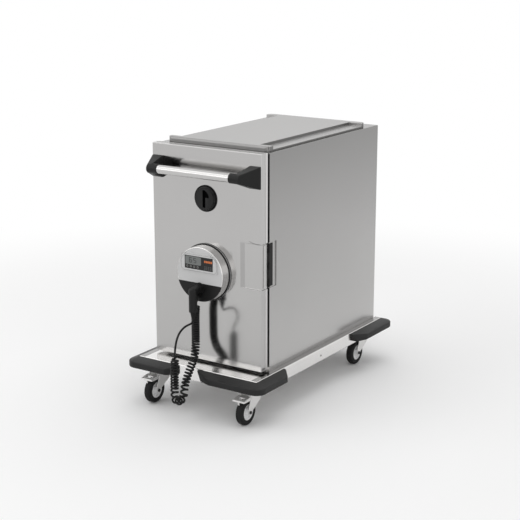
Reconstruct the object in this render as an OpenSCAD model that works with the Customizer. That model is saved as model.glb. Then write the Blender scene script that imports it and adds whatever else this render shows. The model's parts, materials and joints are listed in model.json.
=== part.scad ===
// Enclosed meal tray cart: an insulated cabinet on a bumpered deck, with a heated front door.
// Millimetres. Z is up and the door faces -Y. The origin lies on the floor under the middle of the deck.

/* [Deck] */
// Width of the base deck
deck_w = 532; // [516:2:560]
// Length of the base deck
deck_l = 936; // [928:4:980]
// Height of the deck's top face above the floor
deck_top = 178; // [174:1:186]
// Depth of the folded skirt round the deck
skirt_h = 50; // [46:1:52]
// Sheet thickness of the deck
deck_t = 2; // [1.5:0.5:3]

/* [Bumpers] */
// Reach of a bumper past the deck's edge
bumper_out = 40; // [32:1:46]
// Length of a bumper's long arm from the deck's corner
bumper_long = 260; // [220:5:270]
// Length of a bumper's short arm from the deck's corner
bumper_short = 185; // [160:5:195]
// Depth of a bumper below the deck's top face
bumper_low = 39; // [34:1:42]
// Fall of the bumper's sloped top face
bumper_fall = 14; // [10:1:17]

/* [Cabinet] */
// Width of the cabinet
body_w = 480; // [470:2:490]
// Length of the cabinet's casing
body_l = 795; // [779:2:805]
// Height of the cabinet above the deck
body_h = 805; // [780:5:830]
// Distance from the deck's front edge to the cabinet's front frame
body_setback = 124; // [120:1:129]
// Thickness of a side wall with its insulation
wall_t = 38; // [34:1:42]
// Thickness of the floor and of the roof with their insulation
floor_t = 45; // [41:1:50]
// Sheet thickness of casing, frame and liner
sheet_t = 1.5; // [1:0.5:2]
// Number of tray levels
runner_count = 9; // [6:1:10]

/* [Top cap] */
// Height of the raised top cap
cap_h = 19; // [15:1:24]
// Width of the raised top cap
cap_w = 448; // [430:2:460]
// Width of the cap between its two side ledges
cap_core_w = 334; // [310:2:350]
// Height of the side ledges above the casing
ledge_h = 7; // [5:1:10]

/* [Door] */
// Thickness of the door
door_t = 41; // [39:1:46]
// Gap between the door's back and the front frame
door_gap = 11; // [11:0.5:13]
// Clearance between the deck and the door's bottom edge
door_clear = 9; // [7:1:11]
// Height by which the door stands above the casing
door_over = 4; // [3:1:6]
// Height of the hinge's middle above the floor
hinge_z = 578; // [544:2:604]
// Length of the hinge's barrel
hinge_l = 158; // [140:2:164]

/* [Handle] */
// Outer radius of the handle's tube
bar_r = 16; // [14:0.5:17]
// Distance of the tube's axis in front of the door
bar_reach = 71; // [64:1:80]
// Height of the tube's axis above the floor
bar_z = 906; // [893:1:911]
// Length of bare tube between its two sockets
bar_bare = 314; // [300:2:324]

/* [Latch] */
// Radius of the latch knob's flange
knob_r = 49; // [46:1:54]
// Height by which the knob stands off the door
knob_h = 13; // [12:1:16]
// Height of the knob's axis above the floor
knob_z = 804; // [796:1:812]
// Travel of the sliding bolt
bolt_travel = 22; // [20:1:24]

/* [Heater module] */
// Radius of the module's seam ring
module_r = 107; // [103:1:112]
// Height by which the module's face stands off the door
module_h = 45; // [42:1:50]
// Height of the module's axis above the floor
module_z = 530; // [526:1:540]
// Width of the display window
display_w = 125; // [110:1:128]
// Height of the display window
display_h = 49; // [40:1:52]

/* [Casters] */
// Radius of a wheel over its tyre
wheel_r = 50; // [47:0.5:52]
// Width of a tyre
tyre_w = 28; // [24:1:30]
// Radius at which the tyre sits on the wheel's core
core_r = 31; // [29:0.5:34]
// Distance of the wheel's axis ahead of the swivel axis
caster_trail = 38; // [32:1:40]
// Distance of a swivel axis from the deck's side edge
caster_side = 57; // [56:1:64]
// Distance of the front swivel axes from the deck's front edge
caster_front = 52; // [52:1:62]
// Distance of the rear swivel axes from the deck's back edge
caster_rear = 81; // [56:1:90]

/* [Cord] */
// Diameter of the cord
cord_d = 7.6; // [7:0.1:8]
// Outer diameter of the curly stretch
curl_d = 31.6; // [30:0.2:32]

/* [Hidden] */
$fn = 48;

// How far a cut runs past what it cuts, and the room between pieces that nearly touch
overrun = 1;
near_gap = 0.3;
// Radial clearance of a running shaft
run_gap = 0.05;

// Colours of the finishes
steel = [0.72, 0.72, 0.70];
dull_steel = [0.60, 0.60, 0.59];
bright_steel = [0.82, 0.82, 0.81];
black_plastic = [0.12, 0.12, 0.12];
rubber_black = [0.10, 0.10, 0.10];
core_grey = [0.78, 0.78, 0.77];
foam = [0.90, 0.85, 0.68];

// Sides and ends of the cart
left = -1;
right = 1;
front = -1;
rear = 1;

// Cabinet levels and planes
skirt_z = deck_top - skirt_h;
body_y0 = -deck_l / 2 + body_setback;
body_y1 = body_y0 + body_l;
body_z1 = deck_top + body_h;
body_edge_r = 3;
cavity_w = body_w - 2 * wall_t;
cavity_z0 = deck_top + floor_t;
cavity_z1 = body_z1 - floor_t;
cavity_y1 = body_y1 - wall_t;
liner_y0 = body_y0 + sheet_t;
back_press = 0.6;
back_press_r = 20;

// Door planes
door_y1 = body_y0 - door_gap;
door_y0 = door_y1 - door_t;
door_z0 = deck_top + door_clear;
door_z1 = body_z1 + door_over;
door_h = door_z1 - door_z0;
door_edge_r = 3;
rim_depth = 16;
skin_depth = door_t - rim_depth;
rim_inset = 0.8;
// Raised part of the inner pan that enters the cabinet's opening
plug_in = 24;
plug_side = 12;
liner_back = door_t - sheet_t;
plug_back = door_t + plug_in;

// Pressed pocket round the door's and the casing's right edge, where the hinge lies
pocket_room = 10;
pocket_h = hinge_l + pocket_room;
pocket_depth = 4;
pocket_face_w = 75;
pocket_face_depth = 5;
pocket_slope = 16;
pocket_body_l = 46;
hinge_x = body_w / 2;
hinge_y = door_y1 + door_gap / 2;
knuckle_r = 4.5;
pin_r = 2.5;
knuckle_gap = 0.4;
knuckle_count = 5;
knuckle_l = (hinge_l - (knuckle_count - 1) * knuckle_gap) / knuckle_count;
leaf_t = 2;
leaf_reach = 24;

// Bumper section
bumper_tuck = 2;
bumper_lip = 3;
bumper_end_t = 8;
bumper_taper_long = 78;
bumper_taper_short = 40;
bumper_end_lean = 24;

// Top cap
cap_front = 18;
cap_back = 76;
cap_rim = 30;
cap_corner_r = 20;
cap_nose_r = 8;
cap_t = 2;

// Door seal
seal_in = 14;
seal_w = 14;
seal_lip = 4;

// Handle
bar_t = 1.5;
bar_in = 30;
socket_wall = 2;
socket_len = 44;
socket_r = bar_r + socket_wall;
bracket_base_w = 44;
bracket_base_h = 80;
bracket_base_t = 4;
bracket_edge = 4;
bracket_drop = 4;
elbow_w = 16;

// Latch
knob_step = 2.5;
knob_slant = 6;
knob_flange_h = 3;
grip_w = 12;
grip_h = 64;
grip_depth = 10;
grip_hole_r = 27;
grip_hole_shift = 5;
spindle_r = 6;
bush_wall = 4;
bush_flange_r = 20;
bush_flange_t = 2;
bush_l = 24;
crank_t = 4;
crank_r = bolt_travel / (2 * cos(45));
crank_pin_r = 3;
crank_land = 2;
crank_gap = 1.5;
bolt_t = 4;
bolt_w = 16;
bolt_play = 0.6;
bolt_inset = 8;
yoke_wall = 5;
bolt_y = door_y0 + plug_back - bolt_inset;
crank_y = bolt_y - crank_gap - crank_t;
keeper_reach = 14;
keeper_wall = 1.5;
keeper_room = 2;

// Heater module
ring_h = 6;
ring_out = 3;
drum_t = 2;
drum_draft = 5;
drum_round = 4;
drum_h = module_h - ring_h;
face_gap = 0.5;
face_r = module_r - drum_draft - drum_round - face_gap;
face_t = 2;
brow_r = module_r - drum_draft;
insert_drop = 33;
insert_sink = 1;
insert_front = module_h - insert_sink;
bezel_w = 160;
bezel_h = 66;
bezel_t = 5;
bezel_r = 6;
bezel_rim = 4;
display_rise = 43;
display_r = 2;
glass_t = 3;
glass_sink = 0.6;
door_port_r = 88;
park_drop = 50;
park_r = 20;
park_t = 9;
park_deep = 7;
park_bore_r = 16.8;
motor_r = 38;
motor_l = 96;
motor_flange_r = 50;
motor_flange_t = 2;
shaft_r = 4;
shaft_room = 2;
shaft_in = 30;
fan_gap = 8;
blade_tip = 2;
fan_r = 60;
fan_hub_r = 14;
fan_depth = 14;
fan_blades = 12;
fan_back_t = 1.5;
heater_r = 78;
heater_wire_r = 3.5;
heater_pitch = 10;
cover_r = 95;
cover_h = 34;
cover_slots = 18;
cover_slot_w = 6;
cover_slot_l = 34;

// Casters
caster_x = deck_w / 2 - caster_side;
plate_w = 105;
plate_l = 85;
plate_t = 3;
bolt_span_x = 80;
bolt_span_y = 60;
bolt_r = 4;
bolt_head_share = 1.6;
bolt_head_h = 4;
bolt_nut_h = 5;
bolt_tail = 6;
channel_l = 96;
channel_t = 3;
race_r = 27;
race_h = 8;
race_bevel = 3;
king_r = 6;
king_head_r = 10;
king_head_h = 4;
king_play = 1;
swivel_gap = 0.5;
crown_r = 30;
crown_top = skirt_z - plate_t - race_h - swivel_gap;
crown_h = 9;
crown_z = crown_top - crown_h;
leg_t = 3;
leg_top = crown_top - leg_t;
leg_heel = 24;
leg_toe = 22;
leg_toe_in = 4;
hub_proud = 3;
hub_w = tyre_w + 2 * hub_proud;
leg_gap = 1;
leg_x = hub_w / 2 + leg_gap;
axle_r = 4.5;
axle_head_r = 6;
axle_head_t = 3.5;
boss_r = 11;
hub_r = 13;
web_t = 8;
rim_t = 5;
rim_step = 2;
tyre_round = 9;

// Brake pedal
pedal_pivot = 36;
pedal_z = crown_z + crown_h / 2;
pedal_pin_r = 3;
pedal_pin_end = 2;
pedal_ear_r = 5.5;
pedal_w = 50;
pedal_t = 2.5;
pedal_reach = 50;
pedal_tilt = 9;
pedal_neck_w = 34;
pedal_neck_l = 8;
pedal_lip = 6;
pedal_tab_w = 6;
pedal_tab_l = 11;
cheek_t = 2;
cheek_back = 4;
cheek_low = 13;
cheek_low_y = 12;
window_w = 24;
window_y0 = -36;
window_y1 = -23;
shoe_w = 24;
shoe_y0 = -18;
shoe_y1 = -8;
shoe_h = 9.2;

// Cord: diameter, curls and the points that its middle line follows
cord_r = cord_d / 2;
curl_r = (curl_d - cord_d) / 2;
curl_rings = 8;
curl_sides = 6;
ramp_turns = 1.25;
pitch_close = 8.9;
pitch_hang = 12.2;
pitch_rise = 10.4;
pitch_turn = 20.5;
pitch_end = 16;
lead_sides = 10;
lead_step = 17;
route_steps = 6;
near_turns = 12;
coil_route = [[-5, -456, 430], [-6.2, -455.5, 422], [-8.2, -454.5, 410], [-10.2, -453.4, 397],
    [-11.7, -452.5, 383], [-12.4, -452.1, 368], [-12.5, -452, 350], [-12.5, -452, 300],
    [-12.3, -452.7, 272], [-11.3, -456.2, 251], [-9.6, -462.5, 232], [-8, -471.5, 215],
    [-7, -485.5, 198], [-6.6, -500, 180.5], [-6.6, -513, 162], [-6.9, -524, 142], [-7.3, -531.3, 122],
    [-7.8, -533.9, 103], [-8.4, -537.3, 90.5], [-9.1, -546.6, 81.3], [-9.8, -559.4, 77.9],
    [-10.5, -572.2, 81.3], [-11.2, -581.5, 90.5], [-11.8, -584.9, 103], [-12.3, -585, 126],
    [-12.5, -584.2, 166], [-12.2, -583.4, 206], [-11.6, -582.6, 238], [-11, -582, 262]];
lead_route = [[-11, -582, 262], [-9.6, -583.2, 270], [-6, -587, 279], [-1.5, -591.2, 290],
    [2, -592.6, 304], [3.6, -589, 320], [4, -580, 335], [4, -567, 346.5], [4, -550, 354.5],
    [4, -532, 358.6], [4, -517, 359.6], [4, -505, 359.6], [4, -496, 361.6], [4, -490, 366.4],
    [4, -488, 372], [4, -488, 376]];

// Vectors and smooth routes
function unit(v) = v / norm(v);
function spline(a, b, c, d, t) = b + (c - a) * t / 2 + (2 * a - 5 * b + 4 * c - d) * t * t / 2
    + (3 * b - a - 3 * c + d) * t * t * t / 2;
function clamped(list, i) = list[max(0, min(len(list) - 1, i))];
function smooth_route(p) = concat([for (i = [0:len(p) - 2]) for (k = [0:route_steps - 1])
    spline(clamped(p, i - 1), p[i], p[i + 1], clamped(p, i + 2), k / route_steps)], [p[len(p) - 1]]);
function lengths(p) = [for (i = 0, s = 0; i < len(p); s = s + norm(clamped(p, i + 1) - p[i]), i = i + 1) s];
function tables(p, s) = [for (axis = [0:2]) [for (i = [0:len(p) - 1]) [s[i], p[i][axis]]]];
function place(t, s) = [for (axis = [0:2]) lookup(s, t[axis])];
function heading(t, s) = unit(place(t, s + cord_r) - place(t, s - cord_r));
function ease(u) = u <= 0 ? 0 : u >= 1 ? 1 : u * u * (3 - 2 * u);

// One ring of points round a tube's middle line, and the faces between the rings
function ring(at, along, out, r, sides) = let (u = unit(out - (out * along) * along), v = cross(along, u))
    [for (k = [0:sides - 1]) at + r * (cos(360 * k / sides) * u + sin(360 * k / sides) * v)];
function tube_faces(rings, sides) = concat(
    [for (k = [1:sides - 2]) [0, k, k + 1]],
    [for (i = [0:rings - 2]) for (k = [0:sides - 1])
        each let (a = i * sides + k, b = i * sides + (k + 1) % sides)
            [[a, a + sides, b + sides], [a, b + sides, b]]],
    [for (k = [1:sides - 2]) let (last = (rings - 1) * sides) [last, last + k + 1, last + k]]);

// The curly stretch: pitch along the route, steps of an eighth of a curl, and the helix round the route
coil_path = smooth_route(coil_route);
coil_s = lengths(coil_path);
coil_len = coil_s[len(coil_s) - 1];
coil_table = tables(coil_path, coil_s);
hang_share = 0.23;
hang_ramp_share = 0.12;
turn_share = 0.66;
turn_half_share = 0.14;
function turn_near(u) = ease(2 * (1 - abs(u - turn_share) / turn_half_share));
function end_near(s) = ease(2 * (1 - min(s, coil_len - s) / (ramp_turns * pitch_end)));
function pitch_free(u) = pitch_close + (pitch_hang - pitch_close) * ease((u - hang_share) / hang_ramp_share)
    + (pitch_rise - pitch_hang) * ease((u - turn_share) / turn_half_share);
function pitch_mid(u) = pitch_free(u) + (pitch_turn - pitch_free(u)) * turn_near(u);
function pitch(s) = let (mid = pitch_mid(s / coil_len)) mid + max(0, pitch_end - mid) * end_near(s);
coil_steps = [for (s = cord_d; s < coil_len - cord_d; s = s + pitch(s) / curl_rings) s];
coil_n = len(coil_steps);
function curl_out(i) = let (s = coil_steps[i], t = heading(coil_table, s), n = unit(cross(t, [0, 1, 0])),
    turn = 360 * i / curl_rings) cos(turn) * n + sin(turn) * cross(n, t);
function curl_reach(i) = curl_r * ease(min(i, coil_n - 1 - i) / (ramp_turns * curl_rings));
coil_mid = [for (i = [0:coil_n - 1]) place(coil_table, coil_steps[i]) + curl_reach(i) * curl_out(i)];
coil_ends = [place(coil_table, 0), place(coil_table, coil_len)];
coil_line = concat([coil_ends[0]], coil_mid, [coil_ends[1]]);
function line_heading(p, i) = unit(clamped(p, i + 1) - clamped(p, i - 1));
coil_points = [for (i = [0:coil_n + 1])
    let (k = max(0, min(coil_n - 1, i - 1)), end = i == 0 || i == coil_n + 1)
        each ring(coil_line[i], end ? heading(coil_table, i == 0 ? 0 : coil_len) : line_heading(coil_line, i),
            curl_out(k), cord_r, curl_sides)];
coil_gap = min([for (i = [0:coil_n - 1])
    for (j = [i + curl_rings / 2:min(coil_n - 1, i + near_turns * curl_rings)])
        if (j < coil_n) norm(coil_mid[i] - coil_mid[j])]) - cord_d;
coil_real = lengths(coil_line);

// The straight lead between the curls and the plug
lead_path = smooth_route(lead_route);
lead_s = lengths(lead_path);
lead_len = lead_s[len(lead_s) - 1];
lead_table = tables(lead_path, lead_s);
lead_n = ceil(lead_len / lead_step);
lead_points = [for (i = [0:lead_n]) let (s = lead_len * i / lead_n)
    each ring(place(lead_table, s), heading(lead_table, s), [0, 1, 0], cord_r, lead_sides)];

echo(curls = (coil_n - 1) / curl_rings, coil_gap = coil_gap, coil_length = coil_real[len(coil_real) - 1],
        lead_length = lead_len);

// Turns what is drawn flat, with its height along Z, so that it stands on the door's front face
module on_door(x, z) {
    translate([x, door_y0, z]) rotate([90, 0, 0]) children();
}

// A rectangle with round corners, centred
module round_rect(w, l, r) {
    square([w - 2 * r, l], center = true);
    square([w, l - 2 * r], center = true);
    for (x = [-1, 1], y = [-1, 1]) translate([x * (w / 2 - r), y * (l / 2 - r)]) circle(r = r);
}

// A box given by its low corner and its high corner
module span(low, high) {
    translate(low) cube(high - low);
}

// Base deck: a pan with its rim folded down
module deck() {
    color(steel) difference() {
        span([-deck_w / 2, -deck_l / 2, skirt_z], [deck_w / 2, deck_l / 2, deck_top]);
        span([-deck_w / 2 + deck_t, -deck_l / 2 + deck_t, skirt_z - overrun],
            [deck_w / 2 - deck_t, deck_l / 2 - deck_t, deck_top - deck_t]);
    }
}

function swivel_y(end) = end == front ? -deck_l / 2 + caster_front : deck_l / 2 - caster_rear;

// Two channels under the deck that carry the casters
module caster_channels() {
    color(dull_steel) for (end = [front, rear]) translate([0, swivel_y(end), 0]) difference() {
        span([-deck_w / 2 + deck_t, -channel_l / 2, skirt_z],
            [deck_w / 2 - deck_t, channel_l / 2, deck_top - deck_t]);
        span([-deck_w / 2, -channel_l / 2 + channel_t, skirt_z + channel_t],
            [deck_w / 2, channel_l / 2 - channel_t, deck_top]);
        for (side = [left, right], x = [-1, 1], y = [-1, 1])
            translate([side * caster_x + x * bolt_span_x / 2, y * bolt_span_y / 2, skirt_z - overrun])
                cylinder(r = bolt_r, h = channel_t + 2 * overrun);
    }
}

// Cross-section of a bumper: first value outwards from the skirt, second value up from the deck's top
module bumper_section(outward = 1) {
    polygon([for (p = [[0, -bumper_tuck], [bumper_out - bumper_lip, -bumper_fall],
        [bumper_out, -bumper_fall - bumper_lip], [bumper_out, -bumper_low + bumper_lip],
        [bumper_out - bumper_lip, -bumper_low], [0, -bumper_low]]) [outward * p[0], p[1]]]);
}

// Plan of a bumper with its two tapered arm ends, the deck's corner at the origin
module bumper_plan() {
    far = bumper_out + overrun;
    polygon([[-bumper_long, 0], [-bumper_long, -bumper_end_t], [-bumper_long + bumper_taper_long, -far],
        [far, -far], [far, bumper_short - bumper_taper_short], [bumper_end_t, bumper_short],
        [0, bumper_short], [0, 0]]);
}

// Wedge that leans the long arm's end face back towards its lower edge
module bumper_lean() {
    rotate([90, 0, 0]) translate([0, 0, -overrun]) linear_extrude(bumper_out + 2 * overrun)
        polygon([[-overrun, overrun], [0, 0], [bumper_end_lean, -bumper_low],
            [bumper_end_lean, -bumper_low - overrun], [-overrun, -bumper_low - overrun]]);
}

// One corner bumper: long arm towards -X, short arm towards +Y
module bumper() {
    color(black_plastic) difference() {
        intersection() {
            union() {
                translate([-bumper_long, 0, 0]) rotate([90, 0, 90])
                    linear_extrude(bumper_long) bumper_section(-1);
                rotate(90) rotate([90, 0, 90]) linear_extrude(bumper_short) bumper_section(-1);
                rotate(-90) rotate_extrude(angle = 90, $fn = 64) bumper_section();
            }
            translate([0, 0, -bumper_low - overrun]) linear_extrude(bumper_low + 2 * overrun) bumper_plan();
        }
        translate([-bumper_long, 0, 0]) bumper_lean();
    }
}

// Places a bumper at one corner of the deck
module at_corner(side, end, turn) {
    translate([side * deck_w / 2, end * deck_l / 2, deck_top]) rotate(turn) children();
}

// Pocket in the casing's right side behind the front frame, grown by a wall
module body_pocket(grow = 0) {
    span([body_w / 2 - pocket_depth - grow, body_y0 - overrun, hinge_z - pocket_h / 2 - grow],
        [body_w / 2 + overrun, body_y0 + pocket_body_l + grow, hinge_z + pocket_h / 2 + grow]);
}

// Outer casing: one wrap of sheet round the cabinet, pressed in behind the hinge
module casing_form(inset, y0, y1) {
    translate([0, y1, (deck_top + body_z1) / 2]) rotate([90, 0, 0]) linear_extrude(y1 - y0)
        round_rect(body_w - 2 * inset, body_h - 2 * inset, body_edge_r);
}

module outer_casing() {
    color(steel) difference() {
        casing_form(0, liner_y0, body_y1);
        difference() {
            casing_form(sheet_t, liner_y0 - overrun, body_y1 + overrun);
            body_pocket(sheet_t);
        }
        body_pocket();
    }
}

// Back panel, set into the casing's rear end, its middle pressed in a little
module back_panel() {
    color(steel) difference() {
        casing_form(sheet_t, body_y1 - sheet_t, body_y1);
        translate([0, body_y1 + overrun, (deck_top + body_z1) / 2]) rotate([90, 0, 0])
            linear_extrude(back_press + overrun) round_rect(cavity_w, body_h - 2 * floor_t, back_press_r);
    }
}

// Foam between casing and liner
module insulation() {
    color(foam) difference() {
        casing_form(sheet_t, liner_y0, body_y1 - sheet_t);
        span([-cavity_w / 2 - sheet_t, liner_y0 - overrun, cavity_z0 - sheet_t],
            [cavity_w / 2 + sheet_t, cavity_y1 + sheet_t, cavity_z1 + sheet_t]);
        body_pocket(sheet_t);
        keeper_form(0);
    }
}

// Inner liner: a box open at the door, with a slot for the bolt
module inner_liner() {
    color(bright_steel) difference() {
        span([-cavity_w / 2 - sheet_t, liner_y0, cavity_z0 - sheet_t],
            [cavity_w / 2 + sheet_t, cavity_y1 + sheet_t, cavity_z1 + sheet_t]);
        span([-cavity_w / 2, liner_y0 - overrun, cavity_z0], [cavity_w / 2, cavity_y1, cavity_z1]);
        bolt_slot(-cavity_w / 2 - sheet_t - overrun, -cavity_w / 2 + overrun);
    }
}

// Front frame: the flat ring that joins casing and liner
module front_frame() {
    color(steel) difference() {
        casing_form(0, body_y0, liner_y0);
        span([-cavity_w / 2, body_y0 - overrun, cavity_z0], [cavity_w / 2, liner_y0 + overrun, cavity_z1]);
        body_pocket();
    }
}

// Ladder of tray runners on one inner wall
runner_w = 14;
runner_flange = 10;
runner_t = 1.5;
runner_front = 79;
runner_back = 20;
runner_y0 = body_y0 + runner_front;
runner_y1 = cavity_y1 - runner_back;
runner_low = 34;
upright_w = 24;
upright_t = 2;
runner_pitch = (cavity_z1 - cavity_z0 - 2 * runner_low) / (runner_count - 1);

module tray_runners(side) {
    color(bright_steel) scale([side, 1, 1]) {
        for (y = [runner_y0 + upright_w, (runner_y0 + runner_y1) / 2, runner_y1 - upright_w])
            span([cavity_w / 2 - upright_t, y - upright_w / 2, cavity_z0],
                [cavity_w / 2, y + upright_w / 2, cavity_z1]);
        for (i = [0:runner_count - 1]) {
            z = cavity_z0 + runner_low + i * runner_pitch;
            wall_x = cavity_w / 2 - upright_t;
            span([wall_x - runner_t, runner_y0, z - runner_flange], [wall_x, runner_y1, z]);
            span([wall_x - runner_w, runner_y0, z - runner_t], [wall_x, runner_y1, z]);
        }
    }
}

// Side view of the cap: an upright back and a rolled front edge
module cap_side(inset) {
    y0 = body_y0 + cap_front + inset;
    y1 = body_y1 - cap_back - inset;
    top = cap_h - inset;
    nose = cap_nose_r - inset;
    low = inset > 0 ? -overrun : 0;
    polygon([[y0, low], [y0, top - nose], [y0 + nose, top], [y1, top], [y1, low]]);
    translate([y0 + nose, top - nose]) intersection() {
        circle(r = nose);
        translate([-nose, 0]) square(nose);
    }
}

module cap_form(inset) {
    w = cap_w - 2 * inset;
    l = body_l - cap_front - cap_back - 2 * inset;
    mid = (2 * body_y0 + cap_front + body_l - cap_back) / 2;
    intersection() {
        translate([-w / 2, 0, 0]) rotate([90, 0, 90]) linear_extrude(w) cap_side(inset);
        translate([0, mid, -overrun]) linear_extrude(cap_h + 2 * overrun)
            round_rect(w, l, cap_corner_r - inset);
    }
}

// Lowered strip along one side of the cap
module cap_ledge(side, inset) {
    scale([side, 1, 1])
        span([cap_core_w / 2 - inset, body_y0 + cap_front + cap_rim - inset, ledge_h - inset],
            [cap_w / 2 + overrun, body_y1 - cap_back - cap_rim + inset, cap_h + overrun]);
}

// Raised top cap with a ledge along each side, hollow underneath
module top_cap() {
    color(steel) translate([0, 0, body_z1]) difference() {
        cap_form(0);
        for (side = [left, right]) cap_ledge(side, 0);
        difference() {
            cap_form(cap_t);
            for (side = [left, right]) cap_ledge(side, cap_t);
        }
    }
}

// Hinge: the knuckles from level first, every second one, and one flat leaf
module knuckles(first, bore) {
    for (i = [first:2:knuckle_count - 1])
        translate([hinge_x, hinge_y, hinge_z - hinge_l / 2 + i * (knuckle_l + knuckle_gap)]) difference() {
            cylinder(r = knuckle_r, h = knuckle_l);
            translate([0, 0, -overrun]) cylinder(r = bore, h = knuckle_l + 2 * overrun);
        }
}

module hinge_leaf_body() {
    leaf_y = body_y0 + leaf_reach;
    color(bright_steel) difference() {
        union() {
            knuckles(0, pin_r);
            for (i = [0:2:knuckle_count - 1]) {
                z = hinge_z - hinge_l / 2 + i * (knuckle_l + knuckle_gap);
                span([hinge_x - pocket_depth, hinge_y, z],
                    [hinge_x - pocket_depth + leaf_t, leaf_y, z + knuckle_l]);
            }
            span([hinge_x - pocket_depth, body_y0, hinge_z - hinge_l / 2],
                [hinge_x - pocket_depth + leaf_t, leaf_y, hinge_z + hinge_l / 2]);
        }
        translate([hinge_x, hinge_y, hinge_z - hinge_l]) cylinder(r = pin_r, h = 2 * hinge_l);
    }
}

module hinge_leaf_door() {
    leaf_y = door_y1 - leaf_reach;
    color(bright_steel) difference() {
        union() {
            knuckles(1, pin_r + run_gap);
            for (i = [1:2:knuckle_count - 1]) {
                z = hinge_z - hinge_l / 2 + i * (knuckle_l + knuckle_gap);
                span([hinge_x - pocket_depth, leaf_y, z],
                    [hinge_x - pocket_depth + leaf_t, hinge_y, z + knuckle_l]);
            }
            span([hinge_x - pocket_depth, leaf_y, hinge_z - hinge_l / 2],
                [hinge_x - pocket_depth + leaf_t, door_y1, hinge_z + hinge_l / 2]);
        }
        translate([hinge_x, hinge_y, hinge_z - hinge_l]) cylinder(r = pin_r + run_gap, h = 2 * hinge_l);
    }
}

module hinge_pin() {
    color(steel) translate([hinge_x, hinge_y, hinge_z - hinge_l / 2]) cylinder(r = pin_r, h = hinge_l);
}

// Door's outer pan: plan with two round front corners, pressed in round its right edge
module door_plan(inset) {
    w = body_w - 2 * inset;
    translate([-w / 2, door_edge_r + inset]) square([w, skin_depth - door_edge_r - inset]);
    translate([-w / 2 + door_edge_r, inset]) square([w - 2 * door_edge_r, door_edge_r]);
    for (x = [-1, 1]) translate([x * (w / 2 - door_edge_r), door_edge_r + inset]) circle(r = door_edge_r);
}

module door_pocket(grow, reach) {
    edge = body_w / 2;
    deep = pocket_face_depth + grow;
    translate([0, door_y0, hinge_z - pocket_h / 2 - grow]) linear_extrude(pocket_h + 2 * grow) {
        polygon([[edge - pocket_face_w - pocket_slope - grow, -overrun],
            [edge - pocket_face_w - pocket_slope - grow, grow], [edge - pocket_face_w - grow, deep],
            [edge + overrun, deep], [edge + overrun, -overrun]]);
        translate([edge - pocket_depth - grow, -overrun])
            square([pocket_depth + grow + overrun, reach + overrun]);
    }
}

module door_skin() {
    color(steel) difference() {
        translate([0, door_y0, door_z0]) linear_extrude(door_h) door_plan(0);
        difference() {
            translate([0, door_y0, door_z0 + sheet_t]) linear_extrude(door_h - 2 * sheet_t) {
                door_plan(sheet_t);
                translate([-body_w / 2 + sheet_t, skin_depth - overrun])
                    square([body_w - 2 * sheet_t, 2 * overrun]);
            }
            door_pocket(sheet_t, door_t);
        }
        door_pocket(0, door_t);
        on_door(0, knob_z) translate([0, 0, -door_t]) cylinder(r = spindle_r + bush_wall, h = door_t + overrun);
        on_door(0, module_z) translate([0, 0, -door_t]) cylinder(r = door_port_r, h = door_t + overrun);
    }
}

// Door's inner pan: rim behind the outer pan, back plate, and a raised part that enters the opening
module door_liner() {
    rim_w = body_w - 2 * rim_inset;
    plug_w = cavity_w - 2 * plug_side;
    plug_z0 = cavity_z0 + plug_side;
    plug_z1 = cavity_z1 - plug_side;
    rim_z0 = door_z0 + rim_inset;
    rim_z1 = door_z1 - rim_inset;
    color(bright_steel) translate([0, door_y0, 0]) difference() {
        union() {
            span([-rim_w / 2, skin_depth, rim_z0], [rim_w / 2, door_t, rim_z1]);
            span([-plug_w / 2, door_t - sheet_t, plug_z0], [plug_w / 2, plug_back, plug_z1]);
        }
        difference() {
            span([-rim_w / 2 + sheet_t, skin_depth - overrun, rim_z0 + sheet_t],
                [rim_w / 2 - sheet_t, liner_back, rim_z1 - sheet_t]);
            translate([0, -door_y0, 0]) door_pocket(sheet_t, door_t);
        }
        span([-plug_w / 2 + sheet_t, liner_back - overrun, plug_z0 + sheet_t],
            [plug_w / 2 - sheet_t, plug_back - sheet_t, plug_z1 - sheet_t]);
        translate([0, -door_y0, 0]) door_pocket(0, door_t + overrun);
        translate([0, -door_y0, 0]) bolt_slot(-plug_w / 2 - overrun, -plug_w / 2 + sheet_t + overrun);
        translate([0, plug_back - sheet_t - overrun, module_z]) rotate([-90, 0, 0])
            cylinder(r = shaft_r + shaft_room, h = sheet_t + 2 * overrun);
    }
}

// Gasket round the door's back, with a thinner sealing lip
module door_seal() {
    w = body_w - 2 * seal_in;
    h = door_h - 2 * seal_in;
    color(rubber_black) translate([0, door_y1, (door_z0 + door_z1) / 2]) rotate([-90, 0, 0]) {
        linear_extrude(door_gap - seal_lip) difference() {
            square([w, h], center = true);
            square([w - 2 * seal_w, h - 2 * seal_w], center = true);
        }
        linear_extrude(door_gap - near_gap) difference() {
            square([w - seal_w / 2, h - seal_w / 2], center = true);
            square([w - 3 * seal_w / 2, h - 3 * seal_w / 2], center = true);
        }
    }
}

// Handle: tube, and a wedge bracket that carries each end in a socket
module handle_bar() {
    len = bar_bare + 2 * bar_in;
    color(bright_steel) translate([-len / 2, door_y0 - bar_reach, bar_z]) rotate([0, 90, 0]) difference() {
        cylinder(r = bar_r, h = len);
        translate([0, 0, -overrun]) cylinder(r = bar_r - bar_t, h = len + 2 * overrun);
    }
}

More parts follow.
